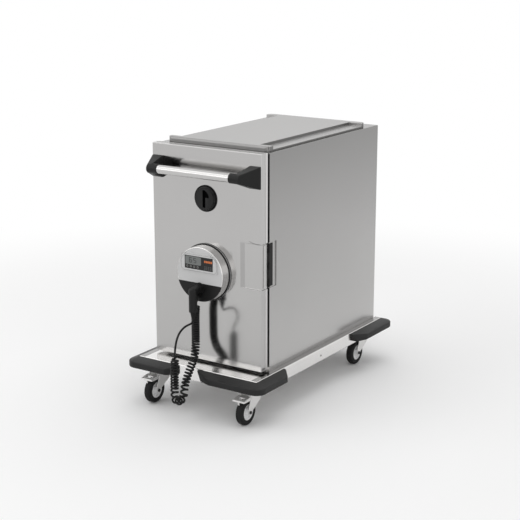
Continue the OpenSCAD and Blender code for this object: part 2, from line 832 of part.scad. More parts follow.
module handle_bracket(side) {
    outer = body_w / 2 - bracket_edge;
    socket_x = bar_bare / 2;
    base_z = bar_z - bracket_drop;
    color(black_plastic) scale([side, 1, 1]) difference() {
        union() {
            hull() {
                span([outer - bracket_base_w, door_y0 - bracket_base_t, base_z - bracket_base_h / 2],
                    [outer, door_y0, base_z + bracket_base_h / 2]);
                translate([socket_x + socket_len - elbow_w, door_y0 - bar_reach, bar_z]) rotate([0, 90, 0])
                    cylinder(r = socket_r, h = elbow_w, $fn = 32);
            }
            translate([socket_x, door_y0 - bar_reach, bar_z]) rotate([0, 90, 0])
                cylinder(r = socket_r, h = socket_len);
        }
        translate([socket_x - overrun, door_y0 - bar_reach, bar_z]) rotate([0, 90, 0])
            cylinder(r = bar_r, h = bar_in + overrun);
    }
}

// Latch: bush, knob, spindle with crank, sliding bolt and keeper
module latch_bush() {
    color(dull_steel) on_door(0, knob_z) difference() {
        union() {
            translate([0, 0, -bush_l]) cylinder(r = spindle_r + bush_wall, h = bush_l);
            translate([0, 0, -sheet_t - bush_flange_t]) cylinder(r = bush_flange_r, h = bush_flange_t);
        }
        translate([0, 0, -bush_l - overrun]) cylinder(r = spindle_r + run_gap, h = bush_l + 2 * overrun);
    }
}

module latch_knob() {
    color(black_plastic) on_door(0, knob_z) difference() {
        union() {
            translate([0, 0, near_gap]) cylinder(r = knob_r, h = knob_flange_h);
            translate([0, 0, near_gap])
                cylinder(r1 = knob_r - knob_step, r2 = knob_r - knob_step - knob_slant, h = knob_h - near_gap);
        }
        translate([-grip_w / 2, -grip_h / 2, knob_h - grip_depth]) cube([grip_w, grip_h, grip_depth + overrun]);
        translate([0, 0, knob_h - grip_depth]) intersection() {
            translate([-grip_hole_shift, grip_h / 2 - grip_hole_r, 0])
                cylinder(r = grip_hole_r, h = grip_depth + overrun);
            translate([0, grip_h / 2 - grip_hole_r, 0]) cube([grip_hole_r, grip_hole_r, grip_depth + overrun]);
        }
    }
}

module latch_spindle() {
    len = crank_y - door_y0 + near_gap;
    color(dull_steel) translate([0, 0, knob_z]) {
        translate([0, door_y0 - near_gap, 0]) rotate([-90, 0, 0]) cylinder(r = spindle_r, h = len);
        translate([0, crank_y, 0]) rotate([-90, 0, 0]) {
            cylinder(r = 2 * spindle_r, h = crank_t);
            rotate(-45) translate([0, -crank_pin_r - crank_land, 0])
                cube([crank_r, 2 * (crank_pin_r + crank_land), crank_t]);
            rotate(-45) translate([crank_r, 0, 0]) cylinder(r = crank_pin_r + crank_land, h = crank_t);
            rotate(-45) translate([crank_r, 0, 0]) cylinder(r = crank_pin_r, h = crank_t + crank_gap + bolt_t);
        }
    }
}

module latch_bolt() {
    x0 = -(cavity_w / 2 - plug_side) + near_gap;
    pin_x = crank_r * cos(45);
    slot_half = crank_pin_r + bolt_play;
    yoke = slot_half + yoke_wall;
    color(bright_steel) difference() {
        union() {
            span([x0, bolt_y, knob_z - bolt_w / 2], [pin_x, bolt_y + bolt_t, knob_z + bolt_w / 2]);
            span([pin_x - yoke, bolt_y, knob_z - bolt_w / 2],
                [pin_x + yoke, bolt_y + bolt_t, knob_z + crank_r + yoke]);
        }
        span([pin_x - slot_half, bolt_y - overrun, knob_z + pin_x - slot_half],
            [pin_x + slot_half, bolt_y + bolt_t + overrun, knob_z + crank_r + slot_half]);
    }
}

// Slot that the bolt passes through, between two places along X
module bolt_slot(x0, x1) {
    span([x0, bolt_y - bolt_play, knob_z - bolt_w / 2 - bolt_play],
        [x1, bolt_y + bolt_t + bolt_play, knob_z + bolt_w / 2 + bolt_play]);
}

module keeper_form(inset) {
    x1 = -cavity_w / 2 - sheet_t;
    side = keeper_wall + keeper_room;
    span([x1 - keeper_reach + inset, bolt_y - keeper_wall, knob_z - bolt_w / 2 - side + inset],
        [x1 + (inset > 0 ? overrun : 0), bolt_y + bolt_t + side - inset, knob_z + bolt_w / 2 + side - inset]);
}

module latch_keeper() {
    color(dull_steel) difference() {
        keeper_form(0);
        intersection() {
            keeper_form(keeper_wall);
            span([-body_w, bolt_y - bolt_play, deck_top], [0, body_y1, body_z1]);
        }
    }
}

// Heater module: dark seam ring, drum, face, display, lower insert
module module_ring() {
    color(rubber_black) on_door(0, module_z) difference() {
        cylinder(r = module_r, h = ring_h, $fn = 96);
        translate([0, 0, -overrun]) cylinder(r = door_port_r, h = ring_h + 2 * overrun, $fn = 96);
    }
}

module module_housing() {
    foot = module_r - ring_out;
    shoulder = drum_h - drum_round;
    color(bright_steel) on_door(0, module_z) difference() {
        translate([0, 0, ring_h]) rotate_extrude($fn = 96) difference() {
            union() {
                polygon([[0, 0], [foot, 0], [brow_r, shoulder], [brow_r - drum_round, drum_h], [0, drum_h]]);
                translate([brow_r - drum_round, shoulder]) intersection() {
                    circle(r = drum_round);
                    square(drum_round);
                }
            }
            polygon([[-overrun, -overrun], [foot - drum_t, -overrun], [brow_r - drum_t, shoulder],
                [face_r, drum_h - face_t], [face_r, drum_h + overrun], [-overrun, drum_h + overrun]]);
        }
        translate([0, 0, module_h - drum_round]) linear_extrude(drum_round + overrun)
            insert_plan(brow_r + overrun, insert_drop);
    }
}

module insert_plan(r, drop) {
    intersection() {
        circle(r = r, $fn = 96);
        translate([-r, -r]) square([2 * r, r - drop]);
    }
}

module module_face() {
    color(steel) on_door(0, module_z) difference() {
        union() {
            translate([0, 0, module_h - face_t]) cylinder(r = face_r, h = face_t, $fn = 96);
            translate([0, 0, module_h]) linear_extrude(bezel_t) intersection() {
                translate([0, display_rise]) round_rect(bezel_w, bezel_h, bezel_r);
                circle(r = face_r - bezel_rim, $fn = 96);
            }
        }
        translate([0, 0, module_h - face_t - overrun]) linear_extrude(face_t + 2 * overrun) {
            insert_plan(brow_r + overrun, insert_drop);
            translate([0, -park_drop]) circle(r = park_r);
        }
        translate([0, display_rise, module_h + bezel_t - glass_t]) linear_extrude(glass_t + overrun)
            round_rect(display_w, display_h, display_r);
    }
}

module display_glass() {
    color([0.14, 0.15, 0.15]) on_door(0, module_z)
        translate([0, display_rise, module_h + bezel_t - glass_t]) linear_extrude(glass_t - glass_sink)
            round_rect(display_w, display_h, display_r);
}

// Lower insert that takes the place of the drum's rim, with the socket in which the plug is parked
module socket_panel() {
    under = module_h - drum_round;
    color(black_plastic) on_door(0, module_z) difference() {
        union() {
            translate([0, 0, under]) linear_extrude(insert_front - under) insert_plan(brow_r, insert_drop);
            translate([0, -park_drop, under]) cylinder(r = park_r, h = module_h - face_t + park_t - under);
        }
        translate([0, -park_drop, module_h - face_t + park_t - park_deep])
            cylinder(r = park_bore_r, h = park_deep + overrun);
    }
}

// Angled gland: a boss on the insert, a bend and a tapered boot that points down
gland_x = coil_route[0][0];
gland_y = coil_route[0][1];
gland_low = coil_route[0][2];
gland_r = 8.5;
gland_z = module_z - park_drop - park_r - gland_r - near_gap;
boot_r = 8;
boot_tip_r = 5.5;

module cord_gland() {
    base_y = door_y0 - insert_front;
    color(black_plastic) {
        translate([gland_x, base_y, gland_z]) rotate([90, 0, 0]) cylinder(r = gland_r, h = base_y - gland_y);
        translate([gland_x, gland_y, gland_z]) sphere(r = gland_r);
        translate([gland_x, gland_y, gland_low])
            cylinder(r1 = boot_tip_r, r2 = boot_r, h = gland_z - gland_low);
    }
}

// Fan, its motor, the heater and the slotted cover on the door's inner side
module fan_motor() {
    color(dull_steel) on_door(0, module_z) translate([0, 0, -plug_back + sheet_t]) difference() {
        union() {
            cylinder(r = motor_flange_r, h = motor_flange_t);
            cylinder(r = motor_r, h = motor_l);
        }
        translate([0, 0, -overrun]) cylinder(r = shaft_r + run_gap, h = motor_l / 2);
    }
}

module fan_wheel() {
    color(bright_steel) on_door(0, module_z) translate([0, 0, -plug_back - fan_gap]) {
        translate([0, 0, -fan_back_t]) cylinder(r = fan_r, h = fan_back_t);
        translate([0, 0, -fan_depth]) cylinder(r = fan_hub_r, h = fan_depth);
        cylinder(r = shaft_r, h = fan_gap + sheet_t + shaft_in);
        for (i = [0:fan_blades - 1]) rotate(i * 360 / fan_blades)
            translate([fan_r / 2, -fan_back_t / 2, -fan_depth])
                cube([fan_r / 2 - blade_tip, fan_back_t, fan_depth]);
    }
}

module heater_ring() {
    color(dull_steel) on_door(0, module_z) translate([0, 0, -plug_back]) {
        for (i = [1, 2]) translate([0, 0, -i * heater_pitch]) rotate_extrude($fn = 64)
            translate([heater_r, 0]) circle(r = heater_wire_r, $fn = 16);
        for (side = [left, right]) translate([side * heater_r, 0, -2 * heater_pitch])
            cylinder(r = heater_wire_r, h = 2 * heater_pitch);
    }
}

module fan_cover() {
    color(bright_steel) on_door(0, module_z) translate([0, 0, -plug_back]) difference() {
        translate([0, 0, -cover_h]) cylinder(r = cover_r, h = cover_h);
        translate([0, 0, -cover_h + sheet_t]) cylinder(r = cover_r - sheet_t, h = cover_h);
        for (i = [0:cover_slots - 1]) rotate(i * 360 / cover_slots) {
            translate([cover_r / 2, -cover_slot_w / 2, -cover_h - overrun])
                cube([cover_slot_l, cover_slot_w, sheet_t + 2 * overrun]);
            translate([cover_r - 2 * sheet_t, -cover_slot_w / 2, -cover_h / 2])
                cube([3 * sheet_t, cover_slot_w, cover_h / 3]);
        }
    }
}

// Puts a piece on a caster's swivel axis
module at_caster(side, end) {
    translate([side * caster_x, swivel_y(end), 0]) children();
}

// Puts a piece on a wheel's axis, turned so that its height runs along X
module at_wheel(side, end) {
    at_caster(side, end) translate([0, -caster_trail, wheel_r]) rotate([0, 90, 0]) children();
}

// Four mounting plates, each with its bolts and the upper race that the fork's king pin turns in
module caster_heads() {
    race_z = skirt_z - plate_t - race_h;
    color(dull_steel) for (side = [left, right], end = [front, rear]) at_caster(side, end) {
        difference() {
            span([-plate_w / 2, -plate_l / 2, skirt_z - plate_t], [plate_w / 2, plate_l / 2, skirt_z]);
            for (x = [-1, 1], y = [-1, 1])
                translate([x * bolt_span_x / 2, y * bolt_span_y / 2, skirt_z - plate_t - overrun])
                    cylinder(r = bolt_r, h = plate_t + 2 * overrun);
        }
        translate([0, 0, race_z]) difference() {
            cylinder(r1 = race_r - race_bevel, r2 = race_r, h = race_h);
            translate([0, 0, -overrun]) cylinder(r = king_r + run_gap, h = race_h + overrun);
        }
        for (x = [-1, 1], y = [-1, 1]) translate([x * bolt_span_x / 2, y * bolt_span_y / 2, skirt_z]) {
            translate([0, 0, -plate_t - bolt_head_h])
                cylinder(r = bolt_head_share * bolt_r, h = bolt_head_h, $fn = 6);
            translate([0, 0, -plate_t - bolt_head_h])
                cylinder(r = bolt_r, h = bolt_head_h + plate_t + channel_t + bolt_tail);
            translate([0, 0, channel_t]) cylinder(r = bolt_head_share * bolt_r, h = bolt_nut_h, $fn = 6);
        }
    }
}

// Side view of one fork leg: full under the crown, drawn in to the axle's boss, with an ear for a pedal's pin
module leg_side(ear) {
    foot_y = -caster_trail;
    difference() {
        union() {
            polygon([[crown_r, leg_top], [crown_r, crown_z - leg_heel], [foot_y + boss_r, wheel_r],
                [foot_y - boss_r, wheel_r], [foot_y - boss_r + leg_toe_in, wheel_r + leg_toe],
                [-crown_r, crown_z], [-crown_r, leg_top]]);
            translate([foot_y, wheel_r]) circle(r = boss_r);
            if (ear) {
                translate([-pedal_pivot, pedal_z]) circle(r = pedal_ear_r);
                translate([-pedal_pivot, pedal_z - pedal_ear_r])
                    square([pedal_pivot - crown_r + leg_toe_in, 2 * pedal_ear_r]);
            }
        }
        translate([foot_y, wheel_r]) circle(r = axle_r);
        if (ear) translate([-pedal_pivot, pedal_z]) circle(r = pedal_pin_r + run_gap);
    }
}

// Swivel fork: crown, two legs, and the king pin riveted through the crown
module fork(side, end) {
    color(bright_steel) at_caster(side, end) {
        translate([0, 0, crown_z]) cylinder(r = crown_r, h = crown_h);
        translate([0, 0, crown_z - king_head_h]) cylinder(r = king_head_r, h = king_head_h);
        translate([0, 0, crown_z]) cylinder(r = king_r, h = crown_h + swivel_gap + race_h - king_play);
        span([-leg_x, -crown_r, leg_top - leg_t], [leg_x, crown_r, leg_top]);
        for (x = [-leg_x - leg_t, leg_x]) translate([x, 0, 0]) rotate([90, 0, 90]) linear_extrude(leg_t)
            leg_side(end == front);
    }
}

module axle(side, end) {
    len = 2 * (leg_x + leg_t);
    color(dull_steel) at_wheel(side, end) {
        translate([0, 0, -len / 2]) cylinder(r = axle_r, h = len);
        translate([0, 0, len / 2]) cylinder(r = axle_head_r, h = axle_head_t);
        translate([0, 0, -len / 2 - axle_head_t]) cylinder(r = axle_head_r, h = axle_head_t, $fn = 6);
    }
}

// Wheel core: hub, thin web and rim
module wheel_core(side, end) {
    color(core_grey) at_wheel(side, end) difference() {
        union() {
            translate([0, 0, -hub_w / 2]) cylinder(r = hub_r, h = hub_w);
            translate([0, 0, -web_t / 2]) cylinder(r = core_r, h = web_t, $fn = 72);
            translate([0, 0, -tyre_w / 2 + rim_step]) difference() {
                cylinder(r = core_r, h = tyre_w - 2 * rim_step, $fn = 72);
                translate([0, 0, -overrun]) cylinder(r = core_r - rim_t, h = tyre_w);
            }
        }
        translate([0, 0, -hub_w]) cylinder(r = axle_r + run_gap, h = 2 * hub_w);
    }
}

module tyre(side, end) {
    half = tyre_w / 2;
    color(rubber_black) at_wheel(side, end) rotate_extrude($fn = 72) difference() {
        union() {
            translate([core_r, -half]) square([wheel_r - core_r - tyre_round, tyre_w]);
            translate([core_r, -half + tyre_round]) square([wheel_r - core_r, tyre_w - 2 * tyre_round]);
            for (z = [-1, 1]) translate([wheel_r - tyre_round, z * (half - tyre_round)]) circle(r = tyre_round);
        }
        translate([0, -tyre_w]) square([core_r, 2 * tyre_w]);
    }
}

// Brake pedal: a pressed plate on a pin through the fork's ears, with a shoe over the tyre
module brake_pedal(side) {
    pin_half = leg_x + leg_t + pedal_pin_end;
    color(bright_steel) at_caster(side, front) translate([0, -pedal_pivot, pedal_z]) {
        translate([-pin_half, 0, 0]) rotate([0, 90, 0]) cylinder(r = pedal_pin_r, h = 2 * pin_half);
        rotate([pedal_tilt, 0, 0]) {
            difference() {
                union() {
                    span([-pedal_neck_w / 2, -pedal_reach, -pedal_t / 2], [pedal_neck_w / 2, 0, pedal_t / 2]);
                    span([-pedal_w / 2, -pedal_reach, -pedal_t / 2], [pedal_w / 2, -pedal_neck_l, pedal_t / 2]);
                }
                span([-window_w / 2, window_y0, -pedal_t], [window_w / 2, window_y1, pedal_t]);
            }
            span([-pedal_w / 2, -pedal_reach, -pedal_lip], [pedal_w / 2, -pedal_reach + pedal_t, pedal_t / 2]);
            span([-pedal_tab_w / 2, -pedal_reach, -pedal_lip - pedal_tab_l],
                [pedal_tab_w / 2, -pedal_reach + pedal_t, 0]);
            for (x = [-pedal_w / 2, pedal_w / 2 - cheek_t]) translate([x, 0, 0]) rotate([90, 0, 90])
                linear_extrude(cheek_t) polygon([[-pedal_reach, pedal_t / 2], [-pedal_reach, -pedal_lip],
                    [-cheek_low_y, -cheek_low], [-cheek_back, -pedal_lip], [-pedal_neck_l, pedal_t / 2]]);
            span([-shoe_w / 2, shoe_y0, -shoe_h], [shoe_w / 2, shoe_y1, 0]);
        }
    }
}

// Cord: curls, straight lead and angled plug
module cord_coil() {
    color(rubber_black) polyhedron(coil_points, tube_faces(coil_n + 2, curl_sides));
}

module cord_lead() {
    color(rubber_black) polyhedron(lead_points, tube_faces(lead_n + 1, lead_sides));
}

plug_x = lead_route[len(lead_route) - 1][0];
plug_y = lead_route[len(lead_route) - 1][1];
plug_low = lead_route[len(lead_route) - 1][2];
plug_head_r = 16;
plug_head_l = 14;
plug_edge = 2;
plug_grip_r = 15.5;
plug_crown = 4;
plug_crown_in = 3;
plug_rise = 8;
plug_boot_r = 10;
plug_tip_r = 6;
plug_boot_l = 25;
plug_ribs = 4;
plug_rib_t = 2.5;
plug_rib_out = 1.5;

module plug() {
    head_z = module_z - park_drop;
    seat = door_y0 - module_h + face_t - park_t + park_deep;
    top_z = head_z + plug_rise;
    grip_low = plug_low + plug_boot_l;
    elbow_z = head_z - plug_head_r + plug_edge;
    color(black_plastic) {
        translate([0, seat, head_z]) rotate([90, 0, 0]) cylinder(r = plug_head_r, h = plug_head_l);
        hull() {
            translate([0, seat - plug_head_l, head_z]) rotate([90, 0, 0])
                cylinder(r = plug_head_r - plug_edge, h = plug_crown, $fn = 32);
            translate([plug_x, plug_y, elbow_z])
                cylinder(r = plug_grip_r, h = top_z - elbow_z - plug_crown, $fn = 32);
            translate([plug_x, plug_y, elbow_z])
                cylinder(r = plug_grip_r - plug_crown_in, h = top_z - elbow_z, $fn = 32);
        }
        translate([plug_x, plug_y, grip_low]) cylinder(r = plug_grip_r, h = elbow_z - grip_low + plug_crown);
        translate([plug_x, plug_y, plug_low]) cylinder(r1 = plug_tip_r, r2 = plug_boot_r, h = plug_boot_l);
        for (i = [1:plug_ribs]) let (share = i / (plug_ribs + 1))
            translate([plug_x, plug_y, plug_low + share * plug_boot_l])
                cylinder(r = plug_tip_r + plug_rib_out + share * (plug_boot_r - plug_tip_r), h = plug_rib_t);
    }
}

deck();
caster_channels();
at_corner(right, front, 0) bumper();  // bumper_front_right
at_corner(right, rear, 90) bumper();  // bumper_rear_right
at_corner(left, rear, 180) bumper();  // bumper_rear_left
at_corner(left, front, 270) bumper();  // bumper_front_left
outer_casing();
back_panel();
insulation();
inner_liner();
front_frame();
tray_runners(left);  // tray_runners_left
tray_runners(right);  // tray_runners_right
top_cap();
hinge_leaf_body();
hinge_pin();
latch_keeper();
caster_heads();
door_skin();
door_liner();
door_seal();
hinge_leaf_door();
handle_bar();
handle_bracket(left);  // handle_bracket_left
handle_bracket(right);  // handle_bracket_right
latch_bush();
latch_knob();
latch_spindle();
latch_bolt();
module_ring();
module_housing();
module_face();
display_glass();
socket_panel();
cord_gland();
fan_motor();
fan_wheel();
heater_ring();
fan_cover();
fork(left, front);  // fork_front_left
axle(left, front);  // axle_front_left
wheel_core(left, front);  // wheel_front_left
tyre(left, front);  // tyre_front_left
fork(right, front);  // fork_front_right
axle(right, front);  // axle_front_right
wheel_core(right, front);  // wheel_front_right
tyre(right, front);  // tyre_front_right
fork(left, rear);  // fork_rear_left
axle(left, rear);  // axle_rear_left
wheel_core(left, rear);  // wheel_rear_left
tyre(left, rear);  // tyre_rear_left
fork(right, rear);  // fork_rear_right
axle(right, rear);  // axle_rear_right
wheel_core(right, rear);  // wheel_rear_right
tyre(right, rear);  // tyre_rear_right
brake_pedal(left);  // pedal_left
brake_pedal(right);  // pedal_right
cord_coil();
cord_lead();
plug();
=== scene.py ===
import json
import math

import bmesh
import bpy
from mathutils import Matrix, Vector


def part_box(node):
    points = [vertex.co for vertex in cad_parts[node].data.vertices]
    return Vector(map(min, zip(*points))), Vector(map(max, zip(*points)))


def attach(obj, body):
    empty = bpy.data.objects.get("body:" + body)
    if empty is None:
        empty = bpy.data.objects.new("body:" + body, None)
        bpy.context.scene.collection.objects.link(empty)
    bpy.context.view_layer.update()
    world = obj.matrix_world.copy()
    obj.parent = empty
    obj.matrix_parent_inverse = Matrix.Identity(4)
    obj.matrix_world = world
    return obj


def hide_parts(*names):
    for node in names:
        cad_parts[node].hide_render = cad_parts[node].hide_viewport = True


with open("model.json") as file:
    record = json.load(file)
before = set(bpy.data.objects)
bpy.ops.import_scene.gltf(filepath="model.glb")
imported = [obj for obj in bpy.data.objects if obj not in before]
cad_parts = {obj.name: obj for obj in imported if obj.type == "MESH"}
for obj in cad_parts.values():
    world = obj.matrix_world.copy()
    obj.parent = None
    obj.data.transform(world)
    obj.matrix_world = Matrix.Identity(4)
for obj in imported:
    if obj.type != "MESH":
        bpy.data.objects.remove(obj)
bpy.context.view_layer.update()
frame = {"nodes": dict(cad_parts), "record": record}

# Enclosed meal tray cart. Lengths are in metres, or in millimetres times mm.
mm = 0.001
record = frame["record"]
slotOf = {part["node"]: part["material_slot"] for part in record["subparts"]}
bodyOf = {node: body for body, nodes in record["behaviour"]["bodies"].items() for node in nodes}


# Camera, floor and lamps

cameraView = {"place": (2.6256, -4.0215, 1.7438), "azimuth": 33.42, "elevation": 14.65, "lens": 87.77}
studio = {
    # The floor darkens away from the camera for the light it throws back, and is white where it is seen
    "floorSize": 24, "floorTone": .80, "farTone": .46,
    "fadeAlong": (.55, .83, 0), "fadeStart": .9, "fadeEnd": 4.2,
    "seenTone": .97, "whiteFrom": 1.2, "whiteFull": 3.0,
    "skyLow": .46, "skyHigh": .74, "view": "Standard",
    # Place, width, height and power of each soft box; the two narrow ones draw bright lines on the tube
    "lamps": [
        ((-2.8, -2.9, 3.1), 4.6, 4.6, 40), ((2.8, -1.6, 2.8), 2.6, 2.6, 9), ((0, .8, 3.6), 3.2, 3.2, 36),
        ((-1.9, -3.3, 1.9), 2.6, .16, 3.4), ((-1.5, -1.9, 3.4), 2.6, .12, 2.2),
        ((3.2, -3.9, 1.1), 3.4, 2.0, 15)],
    "lampAim": (0, 0, .5),
}


def link(thing):
    bpy.context.scene.collection.objects.link(thing)
    return thing


def makeCamera():
    data = bpy.data.cameras.new("photoCamera")
    data.lens = cameraView["lens"]
    camera = link(bpy.data.objects.new("photoCamera", data))
    camera.location = cameraView["place"]
    turn = math.radians(cameraView["azimuth"])
    camera.rotation_euler = (math.radians(90 - cameraView["elevation"]), 0, turn)
    bpy.context.scene.camera = camera
    bpy.context.scene.view_settings.view_transform = studio["view"]


def makeLamps():
    for index, (place, width, height, power) in enumerate(studio["lamps"]):
        data = bpy.data.lights.new("softbox%d" % index, "AREA")
        data.shape = "RECTANGLE"
        data.size = width
        data.size_y = height
        data.energy = power
        lamp = link(bpy.data.objects.new("softbox%d" % index, data))
        lamp.location = place
        aim = Vector(studio["lampAim"]) - Vector(place)
        lamp.rotation_euler = aim.to_track_quat("-Z", "Y").to_euler()


def addNode(tree, kind, **settings):
    # One node, with its settings, and its sockets' values under their own names
    node = tree.nodes.new(kind)
    for key, value in settings.items():
        if key == "inputs":
            for name, content in value.items():
                if isinstance(content, bpy.types.NodeSocket):
                    tree.links.new(content, node.inputs[name])
                else:
                    node.inputs[name].default_value = content
        else:
            setattr(node, key, value)
    return node


def seenRays(tree):
    # 1 for the rays that show the background: straight from the camera, off metal, or through glass
    path = addNode(tree, "ShaderNodeLightPath").outputs
    either = addNode(tree, "ShaderNodeMath", operation="MAXIMUM", inputs={
        0: path["Is Camera Ray"], 1: path["Is Glossy Ray"]}).outputs[0]
    return addNode(tree, "ShaderNodeMath", operation="MAXIMUM", inputs={
        0: either, 1: path["Is Transmission Ray"]}).outputs[0]


def makeSky():
    world = bpy.data.worlds.new("paleStudio")
    world.use_nodes = True
    tree = world.node_tree
    tree.nodes.clear()
    direction = addNode(tree, "ShaderNodeTexCoord").outputs["Generated"]
    height = addNode(tree, "ShaderNodeSeparateXYZ", inputs={0: direction}).outputs["Z"]
    low, high = studio["skyLow"], studio["skyHigh"]
    tone = addNode(tree, "ShaderNodeMapRange", inputs={0: height, 1: 0, 2: 1, 3: low, 4: high}).outputs[0]
    strength = addNode(tree, "ShaderNodeMix", inputs={0: seenRays(tree), 2: tone, 3: 1.0}).outputs[0]
    back = addNode(tree, "ShaderNodeBackground", inputs={"Color": (1, 1, 1, 1), "Strength": strength})
    addNode(tree, "ShaderNodeOutputWorld", inputs={"Surface": back.outputs[0]})
    bpy.context.scene.world = world


def makeFloor():
    half = studio["floorSize"] / 2
    mesh = bpy.data.meshes.new("floor")
    corners = [(-half, -half, 0), (half, -half, 0), (half, half, 0), (-half, half, 0)]
    mesh.from_pydata(corners, [], [(0, 1, 2, 3)])
    floor = link(bpy.data.objects.new("floor", mesh))
    material = bpy.data.materials.new("paleFloor")
    material.use_nodes = True
    tree = material.node_tree
    tree.nodes.clear()
    place = addNode(tree, "ShaderNodeTexCoord").outputs["Object"]
    away = addNode(tree, "ShaderNodeVectorMath", operation="DOT_PRODUCT", inputs={
        0: place, 1: studio["fadeAlong"]})
    shade = addNode(tree, "ShaderNodeMapRange", interpolation_type="SMOOTHSTEP", inputs={
        0: away.outputs["Value"], 1: studio["fadeStart"], 2: studio["fadeEnd"],
        3: studio["floorTone"], 4: studio["farTone"]}).outputs[0]
    seen = seenRays(tree)
    tone = addNode(tree, "ShaderNodeMix", inputs={0: seen, 2: shade, 3: studio["seenTone"]}).outputs[0]
    colour = addNode(tree, "ShaderNodeCombineColor", inputs={0: tone, 1: tone, 2: tone}).outputs[0]
    matt = addNode(tree, "ShaderNodeBsdfDiffuse", inputs={"Color": colour})
    reach = addNode(tree, "ShaderNodeVectorMath", operation="LENGTH", inputs={0: place}).outputs["Value"]
    far = addNode(tree, "ShaderNodeMapRange", interpolation_type="SMOOTHSTEP", inputs={
        0: reach, 1: studio["whiteFrom"], 2: studio["whiteFull"], 3: 0.0, 4: 1.0}).outputs[0]
    hide = addNode(tree, "ShaderNodeMath", operation="MULTIPLY", inputs={0: far, 1: seen}).outputs[0]
    white = addNode(tree, "ShaderNodeEmission", inputs={"Color": (1, 1, 1, 1), "Strength": 1.0})
    both = addNode(tree, "ShaderNodeMixShader", inputs={0: hide, 1: matt.outputs[0], 2: white.outputs[0]})
    addNode(tree, "ShaderNodeOutputMaterial", inputs={"Surface": both.outputs[0]})
    mesh.materials.append(material)


makeCamera()
makeLamps()
makeSky()
makeFloor()
print("camera, floor and lamps are in place")


# Shader groups that several finishes share

def newGroup(name, inputs, outputs):
    tree = bpy.data.node_groups.new(name, "ShaderNodeTree")
    for label, kind, value in inputs:
        socket = tree.interface.new_socket(label, in_out="INPUT", socket_type="NodeSocket" + kind)
        socket.default_value = value
    for label, kind in outputs:
        tree.interface.new_socket(label, in_out="OUTPUT", socket_type="NodeSocket" + kind)
    start = tree.nodes.new("NodeGroupInput").outputs
    end = tree.nodes.new("NodeGroupOutput").inputs
    return tree, start, end


def mixColour(tree, share, first, second, blend="MIX"):
    node = addNode(tree, "ShaderNodeMix", data_type="RGBA", blend_type=blend)
    for socket, value in ((node.inputs[0], share), (node.inputs[6], first), (node.inputs[7], second)):
        if isinstance(value, bpy.types.NodeSocket):
            tree.links.new(value, socket)
        else:
            socket.default_value = value
    return node.outputs[2]


def addShare(tree, base, value, reach):
    # base + (value - 0.5) * reach
    centred = addNode(tree, "ShaderNodeMath", operation="SUBTRACT", inputs={0: value, 1: .5}).outputs[0]
    return addNode(tree, "ShaderNodeMath", operation="MULTIPLY_ADD",
        inputs={0: centred, 1: reach, 2: base}).outputs[0]


def makeSheetGroup():
    # Rolled and brushed sheet: long fine grain, and slow clouds of wiping and handling
    tree, start, end = newGroup("rolledSheet", [
        ("Light", "Color", (.6, .6, .59, 1)), ("Dark", "Color", (.5, .5, .49, 1)),
        ("Roughness", "Float", .18), ("Spread", "Float", .06),
        ("Grain", "Vector", (900, 900, 14)), ("Clouds", "Float", 3.0),
    ], [("Color", "Color"), ("Roughness", "Float"), ("Height", "Float")])
    place = addNode(tree, "ShaderNodeTexCoord").outputs["Object"]
    drawn = addNode(tree, "ShaderNodeVectorMath", operation="MULTIPLY", inputs={
        0: place, 1: start["Grain"]})
    grain = addNode(tree, "ShaderNodeTexNoise", inputs={
        "Vector": drawn.outputs[0], "Scale": 1.0, "Detail": 2.0, "Roughness": .6}).outputs[0]
    cloud = addNode(tree, "ShaderNodeTexNoise", inputs={
        "Vector": place, "Scale": start["Clouds"], "Detail": 3.0, "Roughness": .55}).outputs[0]
    blend = addShare(tree, cloud, grain, .5)
    tree.links.new(mixColour(tree, blend, start["Dark"], start["Light"]), end["Color"])
    tree.links.new(addShare(tree, start["Roughness"], blend, start["Spread"]), end["Roughness"])
    tree.links.new(grain, end["Height"])
    return tree


def makeMouldGroup():
    # Moulded surface: fine eroded texture and faint flow marks
    tree, start, end = newGroup("mouldedSkin", [
        ("Light", "Color", (.05, .05, .05, 1)), ("Dark", "Color", (.03, .03, .03, 1)),
        ("Roughness", "Float", .5), ("Spread", "Float", .1), ("Size", "Float", 900.0),
    ], [("Color", "Color"), ("Roughness", "Float"), ("Height", "Float")])
    place = addNode(tree, "ShaderNodeTexCoord").outputs["Object"]
    fine = addNode(tree, "ShaderNodeTexNoise", inputs={
        "Vector": place, "Scale": start["Size"], "Detail": 2.0}).outputs[0]
    flow = addNode(tree, "ShaderNodeTexNoise", inputs={
        "Vector": place, "Scale": 9.0, "Detail": 3.0}).outputs[0]
    blend = addShare(tree, flow, fine, .7)
    tree.links.new(mixColour(tree, blend, start["Dark"], start["Light"]), end["Color"])
    tree.links.new(addShare(tree, start["Roughness"], flow, start["Spread"]), end["Roughness"])
    tree.links.new(fine, end["Height"])
    return tree


